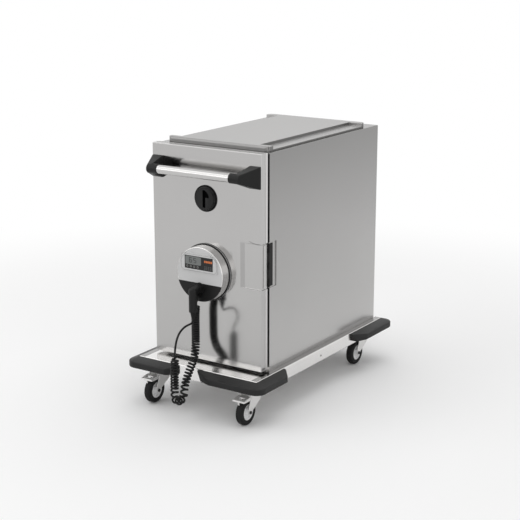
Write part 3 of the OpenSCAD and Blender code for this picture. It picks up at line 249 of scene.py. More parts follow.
def makeWearGroup():
    # Edges that hands and kicks have rubbed: a paler colour on convex edges, broken by noise
    tree, start, end = newGroup("rubbedEdge", [
        ("Color", "Color", (.05, .05, .05, 1)), ("Rubbed", "Color", (.12, .12, .12, 1)),
        ("Amount", "Float", .5),
    ], [("Color", "Color"), ("Mask", "Float")])
    bend = addNode(tree, "ShaderNodeNewGeometry").outputs["Pointiness"]
    edge = addNode(tree, "ShaderNodeMapRange", inputs={0: bend, 1: .52, 2: .62, 3: 0, 4: 1}).outputs[0]
    place = addNode(tree, "ShaderNodeTexCoord").outputs["Object"]
    patch = addNode(tree, "ShaderNodeTexNoise", inputs={
        "Vector": place, "Scale": 40.0, "Detail": 4.0}).outputs[0]
    broken = addNode(tree, "ShaderNodeMath", operation="MULTIPLY", inputs={0: edge, 1: patch}).outputs[0]
    mask = addNode(tree, "ShaderNodeMath", operation="MULTIPLY", use_clamp=True,
        inputs={0: broken, 1: start["Amount"]}).outputs[0]
    tree.links.new(mixColour(tree, mask, start["Color"], start["Rubbed"]), end["Color"])
    tree.links.new(mask, end["Mask"])
    return tree


sheetGroup = makeSheetGroup()
mouldGroup = makeMouldGroup()
wearGroup = makeWearGroup()


# Finishes, one for each material slot of the record

facingShare = .8    # the least share of a normal along an axis for a face to count as turned that way


def grey(tone, warm=0.0):
    return (tone * (1 + warm), tone, tone * (1 - warm), 1)


def startMaterial(name):
    material = bpy.data.materials.new(name)
    material.use_nodes = True
    tree = material.node_tree
    tree.nodes.clear()
    shader = addNode(tree, "ShaderNodeBsdfPrincipled")
    addNode(tree, "ShaderNodeOutputMaterial", inputs={"Surface": shader.outputs[0]})
    return material, tree, shader


def useGroup(tree, group, values):
    node = addNode(tree, "ShaderNodeGroup", node_tree=group)
    for name, value in values.items():
        if isinstance(value, bpy.types.NodeSocket):
            tree.links.new(value, node.inputs[name])
        else:
            node.inputs[name].default_value = value
    return node.outputs


def addRelief(tree, height, shader, strength, distance):
    bump = addNode(tree, "ShaderNodeBump", inputs={
        "Strength": strength, "Distance": distance, "Height": height})
    tree.links.new(bump.outputs[0], shader.inputs["Normal"])


def sheetFinish(name, tone=.6, warm=.012, depth=.08, roughness=.18, spread=.06, grain=(900, 900, 14),
        clouds=3.0, bump=.10, paintedShade=None, metal=1.0, rise=None):
    material, tree, shader = startMaterial(name)
    sheet = useGroup(tree, sheetGroup, {
        "Light": grey(tone, warm), "Dark": grey(tone * (1 - depth), warm), "Roughness": roughness,
        "Spread": spread, "Grain": grain, "Clouds": clouds})
    colour = sheet["Color"]
    if paintedShade:
        # Painted shade: faces turned along one axis, past a place on X, get a darker tone
        axis, pastX, paintedShadeTone = paintedShade
        facing = addNode(tree, "ShaderNodeSeparateXYZ", inputs={
            0: addNode(tree, "ShaderNodeNewGeometry").outputs["True Normal"]}).outputs[axis]
        turned = addNode(tree, "ShaderNodeMath", operation="ABSOLUTE", inputs={0: facing}).outputs[0]
        faces = addNode(tree, "ShaderNodeMath", operation="GREATER_THAN", inputs={
            0: turned, 1: facingShare}).outputs[0]
        place = addNode(tree, "ShaderNodeSeparateXYZ", inputs={
            0: addNode(tree, "ShaderNodeTexCoord").outputs["Object"]}).outputs["X"]
        side = addNode(tree, "ShaderNodeMath", operation="ABSOLUTE", inputs={0: place}).outputs[0]
        past = addNode(tree, "ShaderNodeMath", operation="GREATER_THAN", inputs={
            0: side, 1: pastX}).outputs[0]
        both = addNode(tree, "ShaderNodeMath", operation="MULTIPLY", inputs={
            0: faces, 1: past}).outputs[0]
        colour = mixColour(tree, both, colour, grey(paintedShadeTone, warm))
    if rise:
        # Painted shade: the tone's share at a low and at a high place on Z, darker towards the top in place
        # of the darker reflection there
        low, high, share = rise
        level = addNode(tree, "ShaderNodeSeparateXYZ", inputs={
            0: addNode(tree, "ShaderNodeTexCoord").outputs["Object"]}).outputs["Z"]
        left = addNode(tree, "ShaderNodeMapRange", inputs={
            0: level, 1: low, 2: high, 3: 1.0, 4: share}).outputs[0]
        colour = mixColour(tree, 1.0, colour, left, "MULTIPLY")
    tree.links.new(colour, shader.inputs["Base Color"])
    tree.links.new(sheet["Roughness"], shader.inputs["Roughness"])
    shader.inputs["Metallic"].default_value = metal
    addRelief(tree, sheet["Height"], shader, bump, .0002)
    return material


def mouldFinish(name, tone=.05, warm=0.0, contrast=.35, roughness=.5, spread=.12, size=900.0, bump=.25,
        rubbed=.1, amount=.6, coat=0.0, gloss=.5, paintedSheen=None, band=None):
    material, tree, shader = startMaterial(name)
    skin = useGroup(tree, mouldGroup, {
        "Light": grey(tone * (1 + contrast), warm), "Dark": grey(tone * (1 - contrast), warm),
        "Roughness": roughness, "Spread": spread, "Size": size})
    colour = skin["Color"]
    if paintedSheen:
        # Painted sheen: faces that look up get a lighter tone, for the light they catch from above
        up = addNode(tree, "ShaderNodeSeparateXYZ", inputs={
            0: addNode(tree, "ShaderNodeNewGeometry").outputs["True Normal"]}).outputs["Z"]
        share = addNode(tree, "ShaderNodeMapRange", inputs={
            0: up, 1: .3, 2: .9, 3: 0, 4: 1}).outputs[0]
        colour = mixColour(tree, share, colour, grey(paintedSheen, warm))
    if band:
        # A paler lip behind a place on Y
        behind, lipTone = band
        depth = addNode(tree, "ShaderNodeSeparateXYZ", inputs={
            0: addNode(tree, "ShaderNodeTexCoord").outputs["Object"]}).outputs["Y"]
        lip = addNode(tree, "ShaderNodeMath", operation="GREATER_THAN", inputs={
            0: depth, 1: behind}).outputs[0]
        colour = mixColour(tree, lip, colour, grey(lipTone, warm))
    worn = useGroup(tree, wearGroup, {"Color": colour, "Rubbed": grey(rubbed, warm), "Amount": amount})
    tree.links.new(worn["Color"], shader.inputs["Base Color"])
    tree.links.new(skin["Roughness"], shader.inputs["Roughness"])
    shader.inputs["Coat Weight"].default_value = coat
    shader.inputs["Specular IOR Level"].default_value = gloss
    addRelief(tree, skin["Height"], shader, bump, .0003)
    return material


finishes = {
    # The casing's rise paints shade: darker towards the top
    "casing_steel": sheetFinish("casingSteel", tone=.53, roughness=.24, bump=.05, rise=(.2, 1.0, .52)),
    "door_steel": sheetFinish("doorSteel", tone=.48, roughness=.14, spread=.04, bump=.03),
    "liner_steel": sheetFinish("linerSteel", tone=.62, roughness=.30),
    "fitting_steel": sheetFinish("fittingSteel", tone=.45, roughness=.38),
    "tube_steel": sheetFinish("tubeSteel", tone=.55, roughness=.12, grain=(14, 900, 900)),
    "drum_steel": sheetFinish("drumSteel", tone=.62, roughness=.20),
    "face_steel": mouldFinish("faceLacquer", tone=.60, contrast=.03, roughness=.38, bump=.05, rubbed=.7,
        amount=.2),
    "display": mouldFinish("displayWindow", tone=.012, contrast=.1, roughness=.2, bump=.02, rubbed=.02,
        gloss=.3),
    "foam": mouldFinish("rigidFoam", tone=.6, warm=.2, contrast=.1, roughness=.85, size=400.0, rubbed=.7),
    "seal_rubber": mouldFinish("sealRubber", tone=.014, roughness=.62, rubbed=.03, gloss=.25),
    # The bumpers' upward faces carry a painted sheen
    "bumper_plastic": mouldFinish("bumperPlastic", tone=.018, roughness=.46, rubbed=.05, gloss=.22,
        paintedSheen=.026),
    "black_plastic": mouldFinish("blackPlastic", tone=.008, roughness=.46, rubbed=.03, gloss=.22),
    "cord_rubber": mouldFinish("cordRubber", tone=.009, roughness=.52, rubbed=.02, gloss=.20),
    "caster_steel": sheetFinish("casterSteel", tone=.86, roughness=.34, clouds=18.0, depth=.12, metal=.55),
    "wheel_plastic": mouldFinish("wheelPlastic", tone=.88, contrast=.03, roughness=.45, rubbed=.8, bump=.1),
    "tyre_rubber": mouldFinish("tyreRubber", tone=.016, roughness=.62, rubbed=.04, size=500.0, gloss=.14),
}
# Pieces whose own finish differs from the rest of their slot. The cap's side walls and the deck's strip
# beside the casing get painted shade
ownFinish = {
    "top_cap": sheetFinish("capSteel", tone=.40, roughness=.40, spread=.08, bump=.04, paintedShade=("X", .10, .20)),
    "deck": sheetFinish("deckSteel", tone=.82, roughness=.19, spread=.05, bump=.012,
        paintedShade=("Z", .2405, .34)),
    # The hinge's body leaf and its pin are painted near black: painted shade for the dark gap beside the
    # hinge
    "hinge_leaf_body": sheetFinish("shadedHingeSteel", tone=.02, roughness=.45),
    "hinge_pin": sheetFinish("shadedPinSteel", tone=.03, roughness=.40),
    "hinge_leaf_door": sheetFinish("hingeSteel", tone=.52, roughness=.26),
    "module_ring": mouldFinish("seamRubber", tone=.012, roughness=.6, rubbed=.03, gloss=.2,
        band=(-.3995, .34)),
}
for wheel in ("front_left", "front_right", "rear_left", "rear_right"):
    ownFinish["axle_" + wheel] = mouldFinish("blackenedBolt", tone=.02, roughness=.45, gloss=.3)
# Where some pieces change to a darker finish, painted shade: the cap's rolled nose, the slopes of the
# door's recess, the knuckles of the door's leaf, and the knob's slot and finger hole
finishLimits = {
    "noseBack": -.3175, "noseHalf": .2225,
    "recessLeft": .1, "recessRight": .234, "recessLow": .490, "recessHigh": .668, "recessFront": -.388,
    "slope": .3, "turn": .1,
    "knuckles": -.3556,
    "knobFace": -.4082, "slotHalf": .0235, "slotLow": .770, "slotHigh": .838,
}


# Painted shade on the slopes and the bottom ledge of the door's hinge recess
def inShadedRecess(middle, normal):
    limits = finishLimits
    across = limits["recessLeft"] < middle.x < limits["recessRight"]
    up = limits["recessLow"] < middle.z < limits["recessHigh"]
    sloped = normal.z > limits["slope"] or normal.x > limits["turn"]
    return across and up and middle.y < limits["recessFront"] and sloped


# Painted shade in the knob's slot and finger hole: near black
def inShadedGrip(middle, normal):
    limits = finishLimits
    up = limits["slotLow"] < middle.z < limits["slotHigh"]
    return up and abs(middle.x) < limits["slotHalf"] and middle.y > limits["knobFace"]


# Painted shade on the cap's rolled nose
def onShadedNose(middle, normal):
    return middle.y < finishLimits["noseBack"] and abs(middle.x) < finishLimits["noseHalf"]


# Painted shade on the door leaf's knuckles, which take the near-black pin finish
def onShadedKnuckles(middle, normal):
    return middle.y > finishLimits["knuckles"]


# A second finish, darker as painted shade, and which faces have it, by their middle and normal
secondFinish = {
    "top_cap": (sheetFinish("capNoseShade", tone=.30, roughness=.46, spread=.08, bump=.03), onShadedNose),
    "door_skin": (sheetFinish("recessSlopeShade", tone=.40, roughness=.24, bump=.03), inShadedRecess),
    "hinge_leaf_door": (ownFinish["hinge_pin"], onShadedKnuckles),
    "latch_knob": (mouldFinish("gripShade", tone=.001, roughness=.8, rubbed=.002, gloss=.05), inShadedGrip),
}
print("finishes:", len(finishes) + len(ownFinish))


# Cord: the curls and the straight lead on one line, then its plug

cordSizes = {
    "diameter": 7.6 * mm, "curl": 31.6 * mm, "pointsPerCurl": 30, "splineSteps": 12, "leadStep": 5 * mm,
    "pitchClose": 8.9 * mm, "pitchHang": 12.2 * mm, "pitchRise": 10.4 * mm, "pitchTurn": 20.5 * mm,
    "pitchEnd": 16 * mm, "rampTurns": 1.25,
    "hangShare": .23, "hangRampShare": .12, "turnShare": .66, "turnHalfShare": .14,
}
coilRoute = [
    (-.005, -.456, .43), (-.0062, -.4555, .422), (-.0082, -.4545, .41), (-.0102, -.4534, .397),
    (-.0117, -.4525, .383), (-.0124, -.4521, .368), (-.0125, -.452, .35), (-.0125, -.452, .3),
    (-.0123, -.4527, .272), (-.0113, -.4562, .251), (-.0096, -.4625, .232), (-.008, -.4715, .215),
    (-.007, -.4855, .198), (-.0066, -.5, .1805), (-.0066, -.513, .162), (-.0069, -.524, .142),
    (-.0073, -.5313, .122), (-.0078, -.5339, .103), (-.0084, -.5373, .0905), (-.0091, -.5466, .0813),
    (-.0098, -.5594, .0779), (-.0105, -.5722, .0813), (-.0112, -.5815, .0905), (-.0118, -.5849, .103),
    (-.0123, -.585, .126), (-.0125, -.5842, .166), (-.0122, -.5834, .206), (-.0116, -.5826, .238),
    (-.011, -.582, .262)]
leadRoute = [
    (-.011, -.582, .262), (-.0096, -.5832, .27), (-.006, -.587, .279), (-.0015, -.5912, .29),
    (.002, -.5926, .304), (.0036, -.589, .32), (.004, -.58, .335), (.004, -.567, .3465),
    (.004, -.55, .3545), (.004, -.532, .3586), (.004, -.517, .3596), (.004, -.505, .3596),
    (.004, -.496, .3616), (.004, -.49, .3664), (.004, -.488, .372), (.004, -.488, .376)]


def ease(u):
    u = min(max(u, 0), 1)
    return u * u * (3 - 2 * u)


class Route:
    # A smooth line through points, read by the distance along it
    def __init__(self, points):
        points = [Vector(point) for point in points]
        self.line = []
        for i in range(len(points) - 1):
            a, b = points[max(i - 1, 0)], points[i]
            c, d = points[i + 1], points[min(i + 2, len(points) - 1)]
            for k in range(cordSizes["splineSteps"]):
                t = k / cordSizes["splineSteps"]
                self.line.append(b + (c - a) * t / 2 + (2 * a - 5 * b + 4 * c - d) * t * t / 2
                    + (3 * b - a - 3 * c + d) * t * t * t / 2)
        self.line.append(points[-1])
        self.along = [0]
        for first, second in zip(self.line, self.line[1:]):
            self.along.append(self.along[-1] + (second - first).length)
        self.length = self.along[-1]

    def at(self, s):
        s = min(max(s, 0), self.length)
        i = 0
        while i < len(self.along) - 2 and self.along[i + 1] < s:
            i += 1
        share = (s - self.along[i]) / (self.along[i + 1] - self.along[i])
        return self.line[i].lerp(self.line[i + 1], share)

    def heading(self, s):
        step = cordSizes["diameter"] / 2
        return (self.at(s + step) - self.at(s - step)).normalized()


def curlPitch(s, length):
    # Close under the gland, wider where it hangs, widest round the bottom, and open at both ends
    sizes = cordSizes
    u = s / length
    hang = ease((u - sizes["hangShare"]) / sizes["hangRampShare"])
    rise = ease((u - sizes["turnShare"]) / sizes["turnHalfShare"])
    turn = ease(2 * (1 - abs(u - sizes["turnShare"]) / sizes["turnHalfShare"]))
    end = ease(2 * (1 - min(s, length - s) / (sizes["rampTurns"] * sizes["pitchEnd"])))
    free = (sizes["pitchClose"] + (sizes["pitchHang"] - sizes["pitchClose"]) * hang
        + (sizes["pitchRise"] - sizes["pitchHang"]) * rise)
    mid = free + (sizes["pitchTurn"] - free) * turn
    return mid + max(0, sizes["pitchEnd"] - mid) * end


def cordLine():
    route = Route(coilRoute)
    diameter, count = cordSizes["diameter"], cordSizes["pointsPerCurl"]
    radius = (cordSizes["curl"] - diameter) / 2
    steps = []
    s = diameter
    while s < route.length - diameter:
        steps.append(s)
        s += curlPitch(s, route.length) / count
    line = [route.at(0)]
    for i, s in enumerate(steps):
        ahead = route.heading(s)
        side = ahead.cross(Vector((0, 1, 0))).normalized()
        turn = 2 * math.pi * i / count
        out = math.cos(turn) * side + math.sin(turn) * side.cross(ahead)
        reach = radius * ease(min(i, len(steps) - 1 - i) / (cordSizes["rampTurns"] * count))
        line.append(route.at(s) + reach * out)
    lead = Route(leadRoute)
    steps = max(1, round(lead.length / cordSizes["leadStep"]))
    line += [lead.at(lead.length * k / steps) for k in range(steps + 1)]
    return line


def makeCord():
    line = cordLine()
    data = bpy.data.curves.new("mainsCord", "CURVE")
    data.dimensions = "3D"
    data.bevel_depth = cordSizes["diameter"] / 2
    data.bevel_resolution = 4
    data.use_fill_caps = True
    spline = data.splines.new("POLY")
    spline.points.add(len(line) - 1)
    for point, place in zip(spline.points, line):
        point.co = (*place, 1)
    spline.use_smooth = True
    data.materials.append(finishes["cord_rubber"])
    cord = link(bpy.data.objects.new("mainsCord", data))
    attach(cord, "door")
    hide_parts("cord_coil", "cord_lead")


# Carried-over pieces: every edge of the CAD solid gets its small radius, in millimetres

edgeRadius = {
    "deck": 2.0, "outer_casing": 2.0, "back_panel": 1.5, "front_frame": .6, "inner_liner": 2.0,
    "top_cap": 1.2,
    "door_skin": 2.2, "door_liner": 2.0, "bumper": 2.5, "handle_bracket": .6, "latch_bush": 1.2,
    "latch_knob": .35, "module_housing": .8, "module_face": 1.2, "wheel": 1.2, "tyre": .6, "fork": .8,
    "pedal": .9, "plug": .8, "caster_channels": 1.6, "insulation": .2, "latch_keeper": .15,
    "latch_bolt": .2,
}
# Rings keep their triangles, and the skewed wedges are rounded less, because both fold over otherwise
edgeWork = {
    "sharp": 30, "flat": .5, "merge": .002 * mm, "roomShare": .42, "least": .12 * mm, "segments": 3,
    "cornerDigits": 6, "otherRadius": .5, "keepTriangles": ("outer_casing", "axle"),
    "skewed": "handle_bracket", "skewedSharp": 50, "skewedRoomShare": .2,
}


def radiusOf(node):
    fits = [name for name in edgeRadius if node.startswith(name)]
    return (edgeRadius[max(fits, key=len)] if fits else edgeWork["otherRadius"]) * mm


def innerFaces(shape):
    # Faces that share all their corners with another one lie inside the solid
    seen, inner = {}, []
    for face in shape.faces:
        places = [tuple(round(c, edgeWork["cornerDigits"]) for c in vert.co) for vert in face.verts]
        corners = tuple(sorted(places))
        if corners in seen:
            inner += [face, seen.pop(corners)]
        else:
            seen[corners] = face
    return inner


def weldedCopy(node):
    mesh = frame["nodes"][node].data.copy()
    shape = bmesh.new()
    shape.from_mesh(mesh)
    bmesh.ops.delete(shape, geom=innerFaces(shape), context="FACES")
    bmesh.ops.remove_doubles(shape, verts=shape.verts, dist=edgeWork["merge"])
    if not node.startswith(edgeWork["keepTriangles"]):
        bmesh.ops.dissolve_limit(shape, angle_limit=math.radians(edgeWork["flat"]), verts=shape.verts[:],
            edges=shape.edges[:])
    radius = radiusOf(node)
    skewed = node.startswith(edgeWork["skewed"])
    sharp = math.radians(edgeWork["skewedSharp" if skewed else "sharp"])
    roomShare = edgeWork["skewedRoomShare" if skewed else "roomShare"]
    weight = shape.edges.layers.float.new("bevel_weight_edge")
    for edge in shape.edges:
        if len(edge.link_faces) == 2 and edge.calc_face_angle() > sharp:
            room = min(face.calc_area() for face in edge.link_faces) / edge.calc_length()
            edge[weight] = min(1, max(edgeWork["least"], roomShare * room) / radius)
    for face in shape.faces:
        face.smooth = True
    shape.to_mesh(mesh)
    shape.free()
    mesh.materials.clear()
    return mesh


def evaluated(piece):
    # The piece's mesh with its modifiers applied
    bpy.context.view_layer.update()
    graph = bpy.context.evaluated_depsgraph_get()
    mesh = bpy.data.meshes.new_from_object(piece.evaluated_get(graph), depsgraph=graph)
    piece.modifiers.clear()
    piece.data = mesh
    return piece


def roundedPiece(node):
    slot = slotOf[node]
    piece = link(bpy.data.objects.new(node + ".finished", weldedCopy(node)))
    bevel = piece.modifiers.new("edges", "BEVEL")
    bevel.limit_method = "WEIGHT"
    bevel.width = radiusOf(node)
    bevel.segments = edgeWork["segments"]
    bevel.use_clamp_overlap = False
    even = piece.modifiers.new("flats", "WEIGHTED_NORMAL")
    even.keep_sharp = True
    evaluated(piece)
    piece.data.materials.append(ownFinish.get(node, finishes[slot]))
    if node in secondFinish:
        finish, chosen = secondFinish[node]
        piece.data.materials.append(finish)
        for face in piece.data.polygons:
            if chosen(face.center, face.normal):
                face.material_index = 1
    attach(piece, bodyOf[node])
    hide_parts(node)
    return piece


leftToCord = ("cord_coil", "cord_lead")
rounded = {node: roundedPiece(node) for node in slotOf if node not in leftToCord}
print("rounded pieces:", len(rounded))
makeCord()

# Geometry Nodes: what repeats or follows a path

def newTree(name, inputs):
    tree = bpy.data.node_groups.new(name, "GeometryNodeTree")
    tree.interface.new_socket("Geometry", in_out="INPUT", socket_type="NodeSocketGeometry")
    for label, kind in inputs:
        tree.interface.new_socket(label, in_out="INPUT", socket_type="NodeSocket" + kind)
    tree.interface.new_socket("Geometry", in_out="OUTPUT", socket_type="NodeSocketGeometry")
    return tree, tree.nodes.new("NodeGroupInput").outputs, tree.nodes.new("NodeGroupOutput").inputs


def named(tree, name, kind):
    node = addNode(tree, "GeometryNodeInputNamedAttribute", data_type=kind)
    node.inputs["Name"].default_value = name
    return node.outputs["Attribute"]


def placed(tree, points, shape):
    # The shape at each point, its Z turned to the point's own facing and scaled to its own size
    turn = addNode(tree, "FunctionNodeAlignRotationToVector", axis="Z",
        inputs={"Vector": named(tree, "facing", "FLOAT_VECTOR")}).outputs[0]
    many = addNode(tree, "GeometryNodeInstanceOnPoints", inputs={
        "Points": points, "Instance": shape, "Rotation": turn,
        "Scale": named(tree, "size", "FLOAT_VECTOR")})
    return addNode(tree, "GeometryNodeRealizeInstances", inputs={0: many.outputs[0]}).outputs[0]


def withFinish(tree, solid, finish, chosen=None):
    node = addNode(tree, "GeometryNodeSetMaterial", inputs={"Geometry": solid, "Material": finish})
    if chosen:
        tree.links.new(chosen, node.inputs["Selection"])
    return node.outputs[0]


def screwTree():
    # A low domed head, and on its top a thin dark hexagon: painted shade standing in for the hexagon recess
    crownShare = .72
    tree, start, end = newTree("screwHeads", [
        ("Radius", "Float"), ("Height", "Float"), ("Recess", "Float"),
        ("Finish", "Material"), ("Dark", "Material")])
    rise = addNode(tree, "ShaderNodeMath", operation="MULTIPLY", inputs={
        0: start["Height"], 1: .5}).outputs[0]
    crown = addNode(tree, "ShaderNodeMath", operation="MULTIPLY", inputs={
        0: start["Radius"], 1: crownShare}).outputs[0]
    lift = addNode(tree, "ShaderNodeCombineXYZ", inputs={2: rise}).outputs[0]
    top = addNode(tree, "ShaderNodeCombineXYZ", inputs={2: start["Height"]}).outputs[0]
    skirt = addNode(tree, "GeometryNodeMeshCone", inputs={
        "Vertices": 24, "Radius Top": start["Radius"], "Radius Bottom": start["Radius"], "Depth": rise})
    dome = addNode(tree, "GeometryNodeMeshCone", inputs={
        "Vertices": 24, "Radius Top": crown, "Radius Bottom": start["Radius"], "Depth": rise})
    domeUp = addNode(tree, "GeometryNodeTransform", inputs={
        "Geometry": dome.outputs[0], "Translation": lift})
    # The hexagon is a thin disc that gets the Dark finish: painted shade for the recess, no hole is cut
    hexagon = addNode(tree, "GeometryNodeMeshCylinder", inputs={
        "Vertices": 6, "Radius": start["Recess"], "Depth": .1 * mm})
    mark = addNode(tree, "GeometryNodeStoreNamedAttribute", data_type="BOOLEAN", domain="FACE", inputs={
        "Geometry": hexagon.outputs[0], "Name": "recess", "Value": True})
    hexagonUp = addNode(tree, "GeometryNodeTransform", inputs={
        "Geometry": mark.outputs[0], "Translation": top})
    head = addNode(tree, "GeometryNodeJoinGeometry")
    for part in (skirt.outputs[0], domeUp.outputs[0], hexagonUp.outputs[0]):
        tree.links.new(part, head.inputs[0])
    solid = placed(tree, start["Geometry"], head.outputs[0])
    steel = withFinish(tree, solid, start["Finish"])
    dark = withFinish(tree, steel, start["Dark"], named(tree, "recess", "BOOLEAN"))
    tree.links.new(dark, end["Geometry"])
    return tree


def plateTree():
    # A flat plate of unit size with round corners
    tree, start, end = newTree("roundPlates", [
        ("Corner", "Float"), ("Thickness", "Float"), ("Finish", "Material")])
    outline = addNode(tree, "GeometryNodeCurvePrimitiveQuadrilateral", inputs={"Width": 1.0, "Height": 1.0})
    corner = addNode(tree, "GeometryNodeFilletCurve", mode="POLY", inputs={
        "Curve": outline.outputs[0], "Radius": start["Corner"], "Count": 5})
    face = addNode(tree, "GeometryNodeFillCurve", inputs={"Curve": corner.outputs[0]})
    thick = addNode(tree, "GeometryNodeExtrudeMesh", inputs={
        "Mesh": face.outputs[0], "Offset Scale": start["Thickness"], "Individual": False})
    solid = placed(tree, start["Geometry"], thick.outputs[0])
    tree.links.new(withFinish(tree, solid, start["Finish"]), end["Geometry"])
    return tree


def beadTree():
    # A round bead along the edges of a mesh
    tree, start, end = newTree("beads", [
        ("Radius", "Float"), ("Flatness", "Float"), ("Finish", "Material")])
    path = addNode(tree, "GeometryNodeMeshToCurve", inputs={"Mesh": start["Geometry"]})
    circle = addNode(tree, "GeometryNodeCurvePrimitiveCircle", inputs={
        "Resolution": 12, "Radius": start["Radius"]})
    flat = addNode(tree, "ShaderNodeCombineXYZ", inputs={0: 1.0, 1: start["Flatness"], 2: 1.0}).outputs[0]
    profile = addNode(tree, "GeometryNodeTransform", inputs={"Geometry": circle.outputs[0], "Scale": flat})
    tube = addNode(tree, "GeometryNodeCurveToMesh", inputs={
        "Curve": path.outputs[0], "Profile Curve": profile.outputs[0], "Fill Caps": True})
    smooth = addNode(tree, "GeometryNodeSetShadeSmooth", inputs={"Geometry": tube.outputs[0]})
    whole = addNode(tree, "GeometryNodeRealizeInstances", inputs={0: smooth.outputs[0]})
    tree.links.new(withFinish(tree, whole.outputs[0], start["Finish"]), end["Geometry"])
    return tree


def pointMesh(name, points, facings, sizes):
    mesh = bpy.data.meshes.new(name)
    mesh.from_pydata(points, [], [])
    for label, rows in (("facing", facings), ("size", sizes)):
        layer = mesh.attributes.new(label, "FLOAT_VECTOR", "POINT")
        for item, row in zip(layer.data, rows):
            item.vector = row
    return mesh


def pathMesh(name, paths, closed=False):
    mesh = bpy.data.meshes.new(name)
    points, edges = [], []
    for path in paths:
        first = len(points)
        points += path
        edges += [(first + i, first + i + 1) for i in range(len(path) - 1)]
        if closed:
            edges.append((len(points) - 1, first))
    mesh.from_pydata(points, edges, [])
    return mesh


def grown(name, tree, mesh, values, body):
    # The tree's result as one plain mesh that rides on its body
    piece = link(bpy.data.objects.new(name, mesh))
    growth = piece.modifiers.new("growth", "NODES")
    growth.node_group = tree
    for item in tree.interface.items_tree:
        if item.item_type == "SOCKET" and item.in_out == "INPUT" and item.name in values:
            growth[item.identifier] = values[item.name]
    evaluated(piece)
    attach(piece, body)
    return piece


screws, plates, beads = screwTree(), plateTree(), beadTree()


def makeScrews():
    # Button-head screws: one in each skirt of the deck, and a row down each edge of the back panel
    sizes = {"radius": 4.2 * mm, "height": 1.8 * mm, "recess": 1.7 * mm, "deckY": -19 * mm,
        "deckZ": 150 * mm, "backIn": 14 * mm, "backCount": 5}
    deck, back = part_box("deck"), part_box("back_panel")
    points, facings = [], []
    for side in (0, 1):
        points.append((deck[side][0], sizes["deckY"], sizes["deckZ"]))
        facings.append((2 * side - 1, 0, 0))
    for x in (back[0][0] + sizes["backIn"], back[1][0] - sizes["backIn"]):
        for k in range(sizes["backCount"]):
            share = (k + .5) / sizes["backCount"]
            points.append((x, back[1][1], back[0][2] + share * (back[1][2] - back[0][2])))
            facings.append((0, 1, 0))
    # The Dark finish paints shade into each head's hexagon
    grown("bodyScrews", screws, pointMesh("bodyScrews", points, facings, [(1, 1, 1)] * len(points)), {
        "Radius": sizes["radius"], "Height": sizes["height"], "Recess": sizes["recess"],
        "Finish": finishes["fitting_steel"], "Dark": finishes["seal_rubber"]}, "cabinet")


makeScrews()
print("screws are in")


# Display: the window's pane, plain digits, keys, a level bar and a key grid, all on the glass

displaySizes = {
    "middle": (0, 573), "layer": .25 * mm, "corner": .12,
    "pane": (-24.5, 7, 70, 31), "orange": (24, 60, 9.5, 5, 6, 8),
    "digits": "65", "digitAt": (-36, -17), "digit": (10, 17), "stroke": 2.2, "digitZ": 8,
    "keys": (-51, -35.5, -20, -4.5), "keyZ": -15.5, "key": 9, "keyDot": 4,
    "grid": (28, 60, 5, -9, -19, 3), "gridKey": (5.2, 3.4),
}
segments = {"6": "acdefg", "5": "acdfg"}


def litFinish(name, colour, glow=.06):
    # Printed film behind the glass, faintly lit from behind
    material, tree, shader = startMaterial(name)
    place = addNode(tree, "ShaderNodeTexCoord").outputs["Object"]
    dots = addNode(tree, "ShaderNodeTexNoise", inputs={
        "Vector": place, "Scale": 700.0, "Detail": 1.0}).outputs[0]
    dim = tuple(channel * .8 for channel in colour[:3]) + (1,)
    film = mixColour(tree, dots, dim, colour)
    tree.links.new(film, shader.inputs["Base Color"])
    tree.links.new(film, shader.inputs["Emission Color"])
    shader.inputs["Emission Strength"].default_value = glow
    shader.inputs["Roughness"].default_value = .35
    return material


def makeDisplay():
    sizes = displaySizes
    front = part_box("display_glass")[0][1]
    middleX, middleZ = sizes["middle"]

    def film(name, blocks, layer, finish, corner=sizes["corner"]):
        depth = front - layer * sizes["layer"]
        points = [((middleX + x) * mm, depth, (middleZ + z) * mm) for x, z, w, h in blocks]
        scales = [(w * mm, h * mm, 1) for x, z, w, h in blocks]
        grown(name, plates, pointMesh(name, points, [(0, -1, 0)] * len(points), scales), {
            "Corner": corner, "Thickness": sizes["layer"] * .8, "Finish": finish}, "door")

    film("displayPane", [sizes["pane"]], 0, litFinish("displayPane", (.17, .18, .176, 1)))
    blocks = []
    width, height = sizes["digit"]
    stroke = sizes["stroke"]
    bars = {
        "a": (0, height / 2, width, stroke), "g": (0, 0, width, stroke),
        "d": (0, -height / 2, width, stroke),
        "f": (-width / 2, height / 4, stroke, height / 2), "b": (width / 2, height / 4, stroke, height / 2),
        "e": (-width / 2, -height / 4, stroke, height / 2),
        "c": (width / 2, -height / 4, stroke, height / 2)}
    for digit, at in zip(sizes["digits"], sizes["digitAt"]):
        for name in segments[digit]:
            x, z, w, h = bars[name]
            blocks.append((at + x, sizes["digitZ"] + z, w, h))
    film("displayDigits", blocks, 1, litFinish("digitInk", (.012, .012, .012, 1), 0))
    keys = [(x, sizes["keyZ"], sizes["key"], sizes["key"]) for x in sizes["keys"]]
    film("displayKeys", keys, 0, litFinish("keyFilm", (.16, .16, .155, 1)), .45)
    film("displayKeyDots", [(x, z, sizes["keyDot"], sizes["keyDot"]) for x, z, w, h in keys], 1,
        litFinish("keyInk", (.02, .02, .02, 1), 0), .45)
    low, high, z, count, width, height = sizes["orange"]
    step = (high - low) / count
    film("displayLevel", [(low + step * (k + .5), z, width, height) for k in range(count)], 0,
        litFinish("levelFilm", (.55, .14, .035, 1), .25))
    low, high, count, top, bottom, rows = sizes["grid"]
    across = [low + (high - low) * k / (count - 1) for k in range(count)]
    down = [top + (bottom - top) * row / (rows - 1) for row in range(rows)]
    grid = [(x, z, *sizes["gridKey"]) for x in across for z in down]
    film("displayGrid", grid, 0, litFinish("gridFilm", (.06, .06, .06, 1)))


makeDisplay()
print("display is in")


# Marks, beads and the door's gasket

